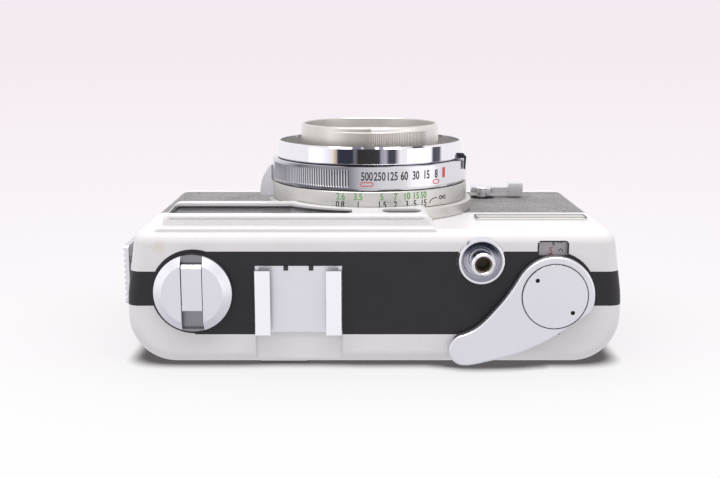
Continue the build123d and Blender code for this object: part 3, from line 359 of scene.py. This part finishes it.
WHITE = (1.0, 0.985, 1.0)
# Painted reflections: colour bands by the turn of a mirror ray round the lens axis, multiplied into the base
# colour of the round metal parts, so the studio's stripes are painted into their colour. This table is the
# painted reflection of the chrome ring.
CHROME_PAINTED_REFLECTION = [
    (-180, WHITE),
    (-97, WHITE),
    (-93, (0.12, 0.13, 0.16)),
    (-82, (0.08, 0.08, 0.11)),
    (-79, (0.80, 0.78, 0.82)),
    (-70, WHITE),
    (-36, WHITE),
    (-30, (0.07, 0.075, 0.10)),
    (-22, (0.07, 0.07, 0.09)),
    (-19, (0.50, 0.50, 0.56)),
    (-13, (0.36, 0.36, 0.40)),
    (-11, (0.05, 0.05, 0.055)),
    (14, (0.04, 0.035, 0.035)),
    (18, (0.20, 0.20, 0.23)),
    (21, (0.04, 0.045, 0.06)),
    (39, (0.04, 0.04, 0.065)),
    (41, (0.62, 0.52, 0.40)),
    (47, (0.66, 0.60, 0.53)),
    (51, (0.68, 0.68, 0.74)),
    (62, (0.85, 0.85, 0.92)),
    (68, WHITE),
    (180, WHITE),
]
# Painted reflection bands of the satin rings and round satin parts.
SATIN_PAINTED_REFLECTION = [
    (-180, WHITE),
    (-60, WHITE),
    (-20, (0.92, 0.92, 0.93)),
    (12, (0.62, 0.62, 0.65)),
    (24, (0.30, 0.30, 0.33)),
    (60, (0.26, 0.26, 0.28)),
    (92, (0.20, 0.20, 0.22)),
    (118, (0.70, 0.70, 0.74)),
    (180, WHITE),
]
# Painted reflection bands of the filter ring.
ALLOY_PAINTED_REFLECTION = [
    (-180, WHITE),
    (-100, (0.96, 0.95, 0.93)),
    (-40, (1.0, 0.98, 0.97)),
    (-4, WHITE),
    (0, (0.52, 0.50, 0.48)),
    (40, (0.68, 0.66, 0.64)),
    (70, (0.86, 0.84, 0.82)),
    (130, (0.90, 0.88, 0.86)),
    (180, WHITE),
]

FINISHES = {
    "cover_paint": painted_cover(),
    "band_enamel": black_enamel(),
    "leather": pebbled_leather(),
    "satin_top": brushed("satin_top", (0.71, 0.71, 0.75), (0.81, 0.81, 0.86), 0.38, (1, 0.3, 1)),
    "satin_rail": brushed("satin_rail", (0.92, 0.92, 0.96), (0.97, 0.97, 1.0), 0.26, (1, 0.3, 1)),
    # The dark satin below is painted shade for the floor of the rewind channel.
    "satin_painted_shade": brushed("satin_painted_shade", (0.25, 0.25, 0.27), (0.34, 0.34, 0.36), 0.40, (1, 0.3, 1)),
    # Near black, painted shade for the bottoms of the grip grooves.
    "groove_painted_shade": dull("groove_painted_shade", (0.045, 0.045, 0.05), 0.45, 0.3),
    "cell_glass": dull("cell_glass", (0.035, 0.028, 0.022), 0.3, 0.4),
    # satin_round, filter_alloy and chrome below carry painted reflections in their colour, from the band tables
    # above.
    "satin_round": brushed(
        "satin_round", (0.70, 0.70, 0.72), (0.82, 0.82, 0.85), 0.22, (1, 0.12, 1), tint=SATIN_PAINTED_REFLECTION
    ),
    "alloy": brushed("alloy", (0.60, 0.585, 0.56), (0.72, 0.705, 0.68), 0.38, (1, 1, 1), 0.05),
    "filter_alloy": brushed(
        "filter_alloy", (0.76, 0.74, 0.72), (0.86, 0.84, 0.82), 0.34, (1, 1, 1), 0.04, tint=ALLOY_PAINTED_REFLECTION
    ),
    "chrome": polished("chrome", (0.88, 0.88, 0.91), tint=CHROME_PAINTED_REFLECTION),
    "soft_chrome": polished("soft_chrome", (0.80, 0.80, 0.83), 0.14),
    "bowl_painted_reflection": bowl_painted_reflection(),
    "steel": brushed("steel", (0.42, 0.42, 0.44), (0.56, 0.56, 0.58), 0.34, (1, 1, 0.1)),
    "brass": brushed("brass", (0.50, 0.34, 0.14), (0.66, 0.48, 0.22), 0.32, (1, 1, 1)),
    "bore_brown": dull("bore_brown", (0.11, 0.085, 0.055), 0.4, 0.3, 0.6),
    # Painted shade: this grey for the lens trough stands in for the shade inside it.
    "trough_painted_shade": dull("trough_painted_shade", (0.30, 0.29, 0.275), 0.5, 0.4, 0.5),
    "casting": dull("casting", (0.035, 0.035, 0.037), 0.55, 0.5),
    "black_metal": dull("black_metal", (0.018, 0.018, 0.019), 0.5, 0.3),
    "black_plastic": dull("black_plastic", (0.022, 0.022, 0.024), 0.42, 0.25),
    "dial_grey": dull("dial_grey", (0.78, 0.75, 0.72), 0.5, 0.25, 0.12),
    "screen": dull("screen", (0.74, 0.70, 0.70), 0.35, 0.3, 0.08),
    "window_glass": clear_glass("window_glass", (0.95, 0.94, 0.94), (0.9, 0.92, 1.0)),
    "lens_glass": clear_glass("lens_glass", (0.93, 0.94, 0.96), (0.75, 0.55, 0.95)),
    "filter_glass": clear_glass("filter_glass", (0.98, 0.97, 0.94), (1.0, 0.9, 0.8)),
    # Black ink for print, also used as painted shade in the lever cap's spanner holes.
    "black_ink_and_hole_shade": ink("black_ink_and_hole_shade", (0.018, 0.016, 0.016)),
    "ink_green": ink("ink_green", (0.09, 0.36, 0.07)),
    "ink_red": ink("ink_red", (0.62, 0.08, 0.055)),
}

NODE_FINISH = {
    "cover_paint": "top_cover bottom_cover",
    "band_enamel": "top_band",
    "leather": "front_leather_left front_leather_right door_leather",
    "satin_top": "advance_lever lever_cap rewind_knob rewind_crank accessory_shoe back_latch eyepiece_frame",
    "satin_round": "speed_ring battery_cover rewind_release_button cover_screws tripod_socket",
    "alloy": "lens_flange focus_ring shutter_barrel badge_plate",
    "filter_alloy": "filter_ring",
    "chrome": "aperture_ring",
    "soft_chrome": "release_collar release_button self_timer_lever sync_terminal strap_lug",
    "steel": "advance_shaft rewind_shaft crank_pin hinge_pin pressure_spring battery_cell",
    "brass": "rewind_sleeve",
    "casting": "chassis",
    "black_metal": "film_gate shoe_stop finder_window_frame light_cell meter_movement aperture_blades"
    " front_lens_ring rear_lens_cell back_door pressure_plate",
    "black_plastic": "takeup_spool film_sprocket finder_tube",
    "dial_grey": "counter_dial",
    "screen": "frame_line_screen",
    "window_glass": "counter_window finder_window_glass eyepiece_lens objective_lens",
    "cell_glass": "cds_window",
    "lens_glass": "front_lens rear_lens",
    "filter_glass": "filter_glass",
}


def paint_nodes():
    for finish, names in NODE_FINISH.items():
        for name in names.split():
            mesh = nodes[name].data
            mesh.materials.clear()
            mesh.materials.append(FINISHES[finish])


paint_nodes()
# Painted light: the frame line screen glows, standing in for daylight through the frosted finder window; it is no
# lamp.
screen_painted_glow = FINISHES["screen"].node_tree.nodes["Principled BSDF"]
screen_painted_glow.inputs["Emission Color"].default_value = (0.86, 0.80, 0.80, 1)
screen_painted_glow.inputs["Emission Strength"].default_value = 0.65


def second_finish(node, finish, chosen):
    """Gives the polygons that a test picks out a second finish; the test is in millimetres."""
    mesh = nodes[node].data
    mesh.materials.append(FINISHES[finish])
    for polygon in mesh.polygons:
        if chosen(polygon.center / MM, polygon.normal):
            polygon.material_index = 1


def paint_parts():
    """Places on a piece whose finish differs from the rest of it; the lens trough, the collar bowl, the rewind
    channel floor and the spanner holes get painted shade or painted reflection.
    """
    # Painted shade: the front trough of the lens, inside the aperture ring, gets a dark grey for the shade that
    # falls in it.
    trough_y = FRONT_Y - 12.5
    second_finish("shutter_barrel", "trough_painted_shade", lambda place, normal: place.y < trough_y)
    ring_low, ring_high = mm_box("aperture_ring")
    inner = (ring_high.z - ring_low.z) / 2 - 1.0

    def inside_ring(place, normal):
        away = Vector((place.x - LENS_X, place.z - LENS_Z)).length
        return away < inner and place.y < trough_y

    second_finish("aperture_ring", "trough_painted_shade", inside_ring)
    button_low, button_high = mm_box("release_button")
    middle = Vector(((button_low.x + button_high.x) / 2, (button_low.y + button_high.y) / 2))
    bore = 1.75

    def in_bore(place, normal):
        return (Vector((place.x, place.y)) - middle).length < bore and place.z > button_low.z + 1

    second_finish("release_button", "bore_brown", in_bore)
    collar_low, collar_high = mm_box("release_collar")
    bowl = (collar_high.x - collar_low.x) / 2 - 0.75

    def in_bowl(place, normal):
        return (Vector((place.x, place.y)) - middle).length < bowl and normal.z > 0.05

    # Painted reflection: the inner bowl of the release collar takes the chrome whose colour darkens on the wall
    # facing the back.
    second_finish("release_collar", "bowl_painted_reflection", in_bowl)
    grip_radius = (flange_high.x - flange_low.x) / 2 - 0.9

    def focus_tab(place, normal):
        return Vector((place.x - LENS_X, place.z - LENS_Z)).length > grip_radius

    second_finish("focus_ring", "satin_top", focus_tab)
    knob_top = mm_box("rewind_knob")[1].z
    rewind_x = (mm_box("rewind_knob")[0].x + mm_box("rewind_knob")[1].x) / 2

    # Painted shade: the floor of the crank channel on the rewind knob takes a dark satin, standing in for the
    # shade in that recess.
    def channel_floor(place, normal):
        return abs(place.x - rewind_x) < 2.6 and knob_top - 2.5 < place.z < knob_top - 0.8

    second_finish("rewind_knob", "satin_painted_shade", channel_floor)
    rail_top = mm_box("accessory_shoe")[1].z
    second_finish("accessory_shoe", "satin_rail", lambda place, normal: place.z > rail_top - 0.25)
    cap_top = hub_high.z

    # Painted shade: the spanner holes in the lever cap take the black ink colour, standing in for the shade
    # inside them.
    def spanner_hole(place, normal):
        away = Vector((place.x - HUB_X, place.y - HUB_Y)).length
        return 4.9 < away < 6.3 and place.z < cap_top - 0.04

    second_finish("lever_cap", "black_ink_and_hole_shade", spanner_hole)


paint_parts()

# ---- mesh tools ---------------------------------------------------------------------


def new_piece(name, mesh, finish, body):
    """Object from a mesh in metres, with a finish, riding on a body."""
    piece = bpy.data.objects.new(name, mesh)
    bpy.context.scene.collection.objects.link(piece)
    mesh.materials.clear()
    mesh.materials.append(FINISHES[finish])
    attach(piece, body)
    return piece


def on_lens(radius, angle, depth):
    """Point on a lens ring, in metres: angle in degrees from the top towards +X."""
    a = radians(angle)
    return Vector((LENS_X + radius * sin(a), FRONT_Y - depth, LENS_Z + radius * cos(a))) * MM


def ring_mesh(name, profile, angles, relief=None):
    """Closed ring round the lens axis from (radius, depth) pairs, with an optional relief."""
    mesh = bpy.data.meshes.new(name)
    made = bmesh.new()
    rows = []
    for angle in angles:
        row = []
        for radius, depth in profile:
            offset = relief(angle, radius, depth) if relief else 0
            row.append(made.verts.new(on_lens(radius + offset, angle, depth)))
        rows.append(row)
    count = len(profile)
    for first, second in zip(rows, rows[1:] + rows[:1]):
        for i in range(count):
            j = (i + 1) % count
            made.faces.new((first[i], second[i], second[j], first[j]))
    bmesh.ops.recalc_face_normals(made, faces=made.faces)
    made.to_mesh(mesh)
    made.free()
    return mesh


def smooth_by_angle(mesh, limit=32):
    """Smooth shading, with edges sharper than the limit kept crisp."""
    made = bmesh.new()
    made.from_mesh(mesh)
    for face in made.faces:
        face.smooth = True
    for edge in made.edges:
        edge.smooth = len(edge.link_faces) == 2 and edge.calc_face_angle(0) < radians(limit)
    made.to_mesh(mesh)
    made.free()


def knurl_angles(start, end, pitch, samples, rest_step):
    """Angles round a ring: fine ones through the knurl, coarse ones elsewhere."""
    fine = []
    step = pitch / samples
    count = int(round((end - start) / step))
    for i in range(count + 1):
        fine.append(start + i * step)
    coarse_count = int((360 - (end - start)) / rest_step)
    coarse_step = (360 - (end - start)) / (coarse_count + 1)
    coarse = [end + coarse_step * (i + 1) for i in range(coarse_count)]
    return fine + coarse


def ridge(angle, start, end, pitch):
    """Flat-topped ridge profile, 1 on the ridge and 0 in the groove."""
    if not start <= angle <= end:
        return 1.0
    phase = ((angle - start) / pitch) % 1
    return min(1.0, max(0.0, 1.6 * abs(2 * phase - 1) - 0.1))


def inner_finish(mesh, finish, outer, inner, near, far):
    """Second finish on the polygons of a ring between two radii and two distances."""
    mesh.materials.append(FINISHES[finish])
    for polygon in mesh.polygons:
        place = polygon.center / MM
        away = Vector((place.x - LENS_X, place.z - LENS_Z)).length
        if inner < away < outer and near < FRONT_Y - place.y < far:
            polygon.material_index = 1


# ---- knurled rings ------------------------------------------------------------------------

GRIP_START = 11.6
GRIP_PITCH = 1.57
GRIP_COUNT = 40
GRIP_END = GRIP_START + GRIP_PITCH * GRIP_COUNT
GRIP_DEPTH = 0.34


def build_speed_ring():
    outer, near, far = ring_span("speed_ring")
    bore = outer - 3.6
    profile = [
        (bore, near),
        (outer - 0.35, near),
        (outer - 0.1, near + 0.1),
        (outer, near + 0.35),
        (outer, near + 0.8),
        (outer, near + 1.0),
        (outer, far - 0.95),
        (outer, far - 0.75),
        (outer, far - 0.4),
        (outer - 0.12, far - 0.12),
        (outer - 0.4, far),
        (bore, far),
    ]

    def relief(angle, radius, depth):
        inside = near + 0.9 < depth < far - 0.85 and radius > outer - 0.05
        if not inside:
            return 0
        return -GRIP_DEPTH * (1 - ridge(angle, GRIP_START, GRIP_END, GRIP_PITCH))

    angles = knurl_angles(GRIP_START, GRIP_END, GRIP_PITCH, 8, 1.5)
    mesh = ring_mesh("speed_ring_grip", profile, angles, relief)
    smooth_by_angle(mesh, 28)
    piece = new_piece("speed_ring_grip", mesh, "satin_round", "speed_ring")
    # Painted shade: the bottoms of the grip grooves are near black, standing in for the shade in the grooves.
    inner_finish(mesh, "groove_painted_shade", outer - 0.72 * GRIP_DEPTH, outer - GRIP_DEPTH - 0.02, near + 0.95, far - 0.9)
    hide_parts("speed_ring")


FILTER_START = -177.5
FILTER_END = 2.5
FILTER_PITCH = 1.5
FILTER_DEPTH = 0.2


def build_filter_ring():
    outer, near, far = ring_span("filter_ring")
    seat = far - 6.6
    profile = [
        (outer - 2.0, near),
        (outer - 1.25, near),
        (outer - 1.18, seat),
        (outer - 0.15, seat),
        (outer, seat + 0.15),
        (outer, seat + 0.7),
        (outer - 0.22, seat + 0.78),
        (outer - 0.22, seat + 0.98),
        (outer, seat + 1.06),
        (outer, seat + 1.12),
        (outer, far - 1.35),
        (outer, far - 1.29),
        (outer - 0.12, far - 1.2),
        (outer - 0.12, far - 0.35),
        (outer - 0.3, far - 0.06),
        (outer - 0.5, far),
        (outer - 0.75, far),
        (outer - 0.9, far - 0.2),
        (outer - 1.0, far - 2.6),
        (outer - 1.6, far - 2.9),
        (outer - 2.0, far - 2.9),
    ]

    def relief(angle, radius, depth):
        inside = seat + 1.1 < depth < far - 1.3 and radius > outer - 0.05
        if not inside:
            return 0
        return -FILTER_DEPTH * (1 - ridge(angle, FILTER_START, FILTER_END, FILTER_PITCH))

    angles = knurl_angles(FILTER_START, FILTER_END, FILTER_PITCH, 6, 1.5)
    mesh = ring_mesh("filter_ring_knurled", profile, angles, relief)
    smooth_by_angle(mesh, 28)
    piece = new_piece("filter_ring_knurled", mesh, "filter_alloy", "camera_body")
    inner_finish(mesh, "alloy", outer - 0.6, 0, near - 1, far + 1)
    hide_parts("filter_ring")


build_speed_ring()
build_filter_ring()

# ---- numbers ---------------------------------------------------------------------------------

LIFT = 0.015
INK_THICK = 0.03


def text_mesh(text, height, condense=0.78, weight=0.0):
    """Flat mesh of a short text, centred, in millimetres."""
    curve = bpy.data.curves.new("ink", "FONT")
    curve.body = text
    curve.size = height * 1.42
    curve.offset = weight
    curve.align_x = "CENTER"
    curve.resolution_u = 4
    holder = bpy.data.objects.new("ink", curve)
    bpy.context.scene.collection.objects.link(holder)
    graph = bpy.context.evaluated_depsgraph_get()
    mesh = bpy.data.meshes.new_from_object(holder.evaluated_get(graph))
    bpy.data.objects.remove(holder)
    for vertex in mesh.vertices:
        vertex.co.x *= condense
        vertex.co.y -= height / 2
    return mesh


def inked(name, parts, wrap, finish, body):
    """Joins flat meshes given as (mesh, place), wraps them on a surface and thickens them."""
    made = bmesh.new()
    for flat, (across, along) in parts:
        before = len(made.verts)
        made.from_mesh(flat)
        made.verts.ensure_lookup_table()
        for vertex in made.verts[before:]:
            vertex.co.x += across
            vertex.co.y += along
    bmesh.ops.triangulate(made, faces=made.faces)
    bmesh.ops.subdivide_edges(
        made, edges=[e for e in made.edges if e.calc_length() > 0.6], cuts=1, use_grid_fill=False
    )
    made.normal_update()
    top = bmesh.ops.extrude_face_region(made, geom=made.faces[:])
    for item in top["geom"]:
        if isinstance(item, bmesh.types.BMVert):
            item.co.z += INK_THICK
    for vertex in made.verts:
        vertex.co = wrap(vertex.co.x, vertex.co.y, vertex.co.z + LIFT)
    bmesh.ops.recalc_face_normals(made, faces=made.faces)
    mesh = bpy.data.meshes.new(name)
    made.to_mesh(mesh)
    made.free()
    return new_piece(name, mesh, finish, body)


def ring_wrap(radius):
    """Wraps flat millimetres on a ring: across runs round the ring, along runs forwards."""

    def wrap(across, along, height):
        return on_lens(radius + height, -across / radius * 180 / pi, along)

    return wrap


def arc_place(radius, angle, depth):
    return (-radians(angle) * radius, depth)


def stroke_mesh(points, width):
    """Flat band of even width along a polyline, closed when it ends where it starts."""
    made = bmesh.new()
    closed = points[0] == points[-1]
    pts = [Vector((x, y, 0)) for x, y in (points[:-1] if closed else points)]
    pairs = []
    for i, point in enumerate(pts):
        before = pts[i - 1] if closed or i else point
        after = pts[(i + 1) % len(pts)] if closed or i < len(pts) - 1 else point
        run = (after - before).normalized()
        side = Vector((-run.y, run.x, 0)) * width / 2
        pairs.append((made.verts.new(point + side), made.verts.new(point - side)))
    following = pairs[1:] + (pairs[:1] if closed else [])
    for first, second in zip(pairs, following):
        made.faces.new((first[0], first[1], second[1], second[0]))
    mesh = bpy.data.meshes.new("stroke")
    made.to_mesh(mesh)
    made.free()
    return mesh


def rounded_outline(wide, high, corner, steps=6):
    """Closed polyline of a rounded rectangle about the origin."""
    points = []
    for quarter in range(4):
        centre_x = (wide / 2 - corner) * (1 if quarter in (0, 3) else -1)
        centre_y = (high / 2 - corner) * (1 if quarter in (0, 1) else -1)
        for i in range(steps + 1):
            a = (quarter + i / steps) * pi / 2
            points.append((centre_x + corner * cos(a), centre_y + corner * sin(a)))
    return points + points[:1]


def build_speed_numbers():
    outer, near, far = ring_span("speed_ring")
    middle = near + 3.55
    first, pitch = 2.0, 6.9
    speeds = ["500", "250", "125", "60", "30", "15", "8"]
    parts = []
    for i, text in enumerate(speeds):
        flat = text_mesh(text, 2.0, 0.68, 0.05)
        parts.append((flat, arc_place(outer, first - pitch * i, middle)))
    inked("speed_numbers", parts, ring_wrap(outer), "black_ink_and_hole_shade", "speed_ring")
    marks = []
    for angle, wide in ((2.0, 2.9), (first - pitch * 6, 1.9)):
        outline = rounded_outline(wide, 0.9, 0.42)
        marks.append((stroke_mesh(outline, 0.22), arc_place(outer, angle, middle - 1.95)))
    marks.append((stroke_mesh([(0, -1.3), (0, 1.2)], 0.9), arc_place(outer, -45.4, middle + 0.1)))
    inked("speed_marks", marks, ring_wrap(outer), "ink_red", "speed_ring")


def build_focus_numbers():
    low, high = mm_box("lens_flange")
    outer = (high.x - low.x) / 2 - 1.2
    near = FRONT_Y - mm_box("focus_ring")[1].y
    feet = {"2.6": 16.5, "3.5": 6.8, "5": -6.1, "7": -13.7, "10": -20.2, "15": -25.8, "50": -30.6}
    metres = {"0.8": 16.8, "1": 6.7, "1.5": -6.3, "2": -13.7, "3": -20.3, "5": -25.2, "15": -30.8}
    parts = [(text_mesh(t, 1.6, 0.8, 0.03), arc_place(outer, a, near + 2.95)) for t, a in feet.items()]
    inked("focus_feet", parts, ring_wrap(outer), "ink_green", "focus_ring")
    parts = [(text_mesh(t, 1.6, 0.8, 0.03), arc_place(outer, a, near + 1.02)) for t, a in metres.items()]
    loops = []
    for i in range(33):
        turn = 2 * pi * i / 32
        loops.append((1.05 * sin(turn), 0.42 * sin(2 * turn)))
    loops[-1] = loops[0]
    parts.append((stroke_mesh(loops, 0.24), arc_place(outer, -44.7, near + 1.85)))
    lead = [(0.0, -0.75), (0.5, -0.1), (1.2, 0.35), (2.6, 0.42)]
    parts.append((stroke_mesh(lead, 0.2), arc_place(outer, -34.5, near + 1.5)))
    inked("focus_metres", parts, ring_wrap(outer), "black_ink_and_hole_shade", "focus_ring")


def flat_wrap(x, y, z):
    """Places flat millimetres on a level face, read from behind the camera body."""

    def wrap(across, along, height):
        return Vector((x - across, y - along, z + height)) * MM

    return wrap


def build_counter_marks():
    """Numeral and ticks on the frame counter dial, seen through its window."""
    low, high = mm_box("counter_window")
    wrap = flat_wrap((low.x + high.x) / 2, (low.y + high.y) / 2, mm_box("counter_dial")[1].z)
    inked("counter_numeral", [(text_mesh("5", 1.7, 0.9, 0.04), (-0.2, -0.75))], wrap, "ink_red", "counter_dial")
    ticks = [
        (stroke_mesh([(0, 0), (0, 1.0)], 0.55), (0.35, 0.5)),
        (stroke_mesh([(0, 0), (0, 0.45)], 0.3), (1.35, 1.0)),
        (stroke_mesh([(0, 0), (0, 0.45)], 0.3), (2.15, 1.0)),
        (stroke_mesh([(-0.5, -0.3), (0, 0.35), (0.5, -0.3)], 0.35), (2.0, -0.6)),
    ]
    inked("counter_ticks", ticks, wrap, "black_ink_and_hole_shade", "counter_dial")


def build_outlines():
    """Dark line round the lever cap and round the plain badge plate."""
    radius = (hub_high.x - hub_low.x) / 2 + 0.05
    circle = [(radius * cos(pi * i / 48), radius * sin(pi * i / 48)) for i in range(96)]
    rim = flat_wrap(HUB_X, HUB_Y, hub_high.z - 0.02)
    inked("cap_line", [(stroke_mesh(circle + circle[:1], 0.2), (0, 0))], rim, "black_ink_and_hole_shade", "advance_lever")
    low, high = mm_box("badge_plate")
    centre = (low + high) / 2

    def on_front(across, along, height):
        return Vector((centre.x - across, low.y - height, centre.z - along)) * MM

    outline = rounded_outline(high.x - low.x - 0.7, high.z - low.z - 0.7, 0.8)
    inked("badge_line", [(stroke_mesh(outline, 0.3), (0, 0))], on_front, "black_ink_and_hole_shade", "camera_body")


build_speed_numbers()
build_focus_numbers()
build_counter_marks()
build_outlines()


def build_index_marks():
    """Small triangle on the aperture ring that the speeds are read against."""
    low, high = mm_box("aperture_ring")
    outer = (high.x - low.x) / 2
    far = FRONT_Y - low.y
    flat = stroke_mesh([(-0.35, 0.28), (0.35, 0.28), (0, -0.32), (-0.35, 0.28)], 0.3)
    inked("index_mark", [(flat, arc_place(outer, 1.1, far - 0.95))], ring_wrap(outer), "black_ink_and_hole_shade", "camera_body")


# ---- studio ------------------------------------------------------------------------------------

CAMERA_FOCAL_PIXELS = 1017.3
IMAGE_WIDE = 720
SENSOR_WIDE = 36.0
CAMERA_PITCH = radians(10.98)
CAMERA_PLACE = Vector((3.36, -58.34, 293.9)) * MM


def aim_camera():
    """Camera above the top plate, tilted so that the front of the body is seen too."""
    data = bpy.data.cameras.new("view_camera")
    data.sensor_width = SENSOR_WIDE
    data.lens = CAMERA_FOCAL_PIXELS * SENSOR_WIDE / IMAGE_WIDE
    data.clip_start = 0.005
    camera = bpy.data.objects.new("view_camera", data)
    bpy.context.scene.collection.objects.link(camera)
    forward = Vector((0, sin(CAMERA_PITCH), -cos(CAMERA_PITCH)))
    right = Vector((-1, 0, 0))
    up = right.cross(forward)
    turn = Matrix((right, up, -forward)).transposed()
    camera.matrix_world = Matrix.Translation(CAMERA_PLACE) @ turn.to_4x4()
    bpy.context.scene.camera = camera


def area_light(name, place, target, size, power, color=(1, 1, 1)):
    data = bpy.data.lights.new(name, "AREA")
    data.shape = "RECTANGLE"
    data.size, data.size_y = size
    data.energy = power
    data.color = color
    light = bpy.data.objects.new(name, data)
    bpy.context.scene.collection.objects.link(light)
    light.location = place
    light.rotation_euler = (Vector(target) - Vector(place)).to_track_quat("-Z", "Y").to_euler()


def build_lights():
    centre = (0, 0, 0.035)
    area_light("key_front", (0.05, -0.85, 0.22), centre, (0.9, 0.5), 6.0, (1.0, 0.985, 0.985))
    area_light("fill_left", (0.8, -0.15, 0.5), centre, (0.6, 0.6), 0.5)
    area_light("fill_right", (-0.8, -0.1, 0.45), centre, (0.6, 0.6), 0.5)


def build_world():
    """Pale tent of light, with a faint pink backdrop behind the top of the view."""
    world = bpy.data.worlds.new("studio")
    world.use_nodes = True
    bpy.context.scene.world = world
    tree = world.node_tree
    tree.nodes.clear()
    out = tree.nodes.new("ShaderNodeOutputWorld")
    coordinates = tree.nodes.new("ShaderNodeTexCoord")
    parts = tree.nodes.new("ShaderNodeSeparateXYZ")
    tree.links.new(coordinates.outputs["Generated"], parts.inputs[0])

    def background(strength, color=None, blend=None):
        made = tree.nodes.new("ShaderNodeBackground")
        made.inputs["Strength"].default_value = strength
        if color:
            made.inputs["Color"].default_value = (*color, 1)
        if blend:
            axis, low, high, first, second = blend
            ranged = tree.nodes.new("ShaderNodeMapRange")
            ranged.inputs["From Min"].default_value = low
            ranged.inputs["From Max"].default_value = high
            tree.links.new(parts.outputs[axis], ranged.inputs["Value"])
            mixer = tree.nodes.new("ShaderNodeMix")
            mixer.data_type = "RGBA"
            tree.links.new(ranged.outputs[0], mixer.inputs["Factor"])
            mixer.inputs[6].default_value = (*first, 1)
            mixer.inputs[7].default_value = (*second, 1)
            tree.links.new(mixer.outputs[2], made.inputs["Color"])
        return made

    def either(test, first, second):
        mixer = tree.nodes.new("ShaderNodeMixShader")
        tree.links.new(path.outputs[test], mixer.inputs[0])
        tree.links.new(first.outputs[0], mixer.inputs[1])
        tree.links.new(second.outputs[0], mixer.inputs[2])
        return mixer

    path = tree.nodes.new("ShaderNodeLightPath")
    ambient = background(0.76, color=(0.975, 0.955, 0.985))
    shiny = background(1.0, blend=("Y", 0.1, 0.95, (1.0, 0.985, 1.0), (0.72, 0.72, 0.78)))
    backdrop = background(1.0, blend=("Y", 0.0, 0.33, (0.905, 0.825, 0.885), (1.0, 0.99, 1.0)))
    lit = either("Is Glossy Ray", ambient, shiny)
    seen = either("Is Camera Ray", lit, backdrop)
    tree.links.new(seen.outputs[0], out.inputs["Surface"])


def shadow_floor(name, corners, seen_from_above):
    """Pale floor that only darkens near the object, shown from one family of views."""
    mesh = bpy.data.meshes.new(name)
    mesh.from_pydata([Vector(corner) for corner in corners], [], [(0, 1, 2, 3)])
    floor = bpy.data.objects.new(name, mesh)
    bpy.context.scene.collection.objects.link(floor)
    floor.visible_shadow = False
    floor.visible_diffuse = False
    floor.visible_glossy = False
    floor.visible_transmission = False
    cover = Shader(name)
    mesh.materials.append(cover.material)
    cover.tree.nodes.remove(cover.bsdf)
    out = cover.tree.nodes["Material Output"]
    near = cover.node("ShaderNodeAmbientOcclusion", samples=16)
    near.inputs["Distance"].default_value = 6 * MM
    wide = cover.node("ShaderNodeAmbientOcclusion", samples=16)
    wide.inputs["Distance"].default_value = 45 * MM
    tight = cover.remap(near.outputs["AO"], 0.52, 0.95, 0.93, 0.0)
    soft = cover.remap(wide.outputs["AO"], 0.4, 1.0, 0.14, 0.0)
    dark = cover.math("MAXIMUM", tight, soft)
    geometry = cover.node("ShaderNodeNewGeometry")
    split = cover.node("ShaderNodeSeparateXYZ")
    cover.link(geometry.outputs["Incoming"], split.inputs[0])
    comparison = "GREATER_THAN" if seen_from_above else "LESS_THAN"
    wanted = cover.math(comparison, split.outputs["Z"], 0.8)
    path = cover.node("ShaderNodeLightPath")
    facing = cover.math("SUBTRACT", 1.0, geometry.outputs["Backfacing"])
    wanted = cover.math("MULTIPLY", wanted, cover.math("MULTIPLY", path.outputs["Is Camera Ray"], facing))
    strength = cover.math("MULTIPLY", wanted, dark)
    clear = cover.node("ShaderNodeBsdfTransparent")
    shade = cover.node("ShaderNodeEmission")
    shade.inputs["Color"].default_value = (0.05, 0.042, 0.045, 1)
    mixed = cover.node("ShaderNodeMixShader")
    cover.link(strength, mixed.inputs[0])
    cover.link(clear.outputs[0], mixed.inputs[1])
    cover.link(shade.outputs[0], mixed.inputs[2])
    cover.link(mixed.outputs[0], out.inputs["Surface"])


def build_floors():
    wide = 1.2
    back = mm_box("door_leather")[1].y * MM + 0.00005
    floor = [(-wide, -wide, -0.00005), (wide, -wide, -0.00005), (wide, wide, -0.00005), (-wide, wide, -0.00005)]
    table = [(-wide, back, -wide), (wide, back, -wide), (wide, back, wide), (-wide, back, wide)]
    shadow_floor("floor", floor, False)
    shadow_floor("table", table, True)


build_index_marks()
aim_camera()
build_lights()
build_world()
build_floors()
bpy.context.scene.view_settings.view_transform = "Standard"
bpy.context.scene.view_settings.look = "None"
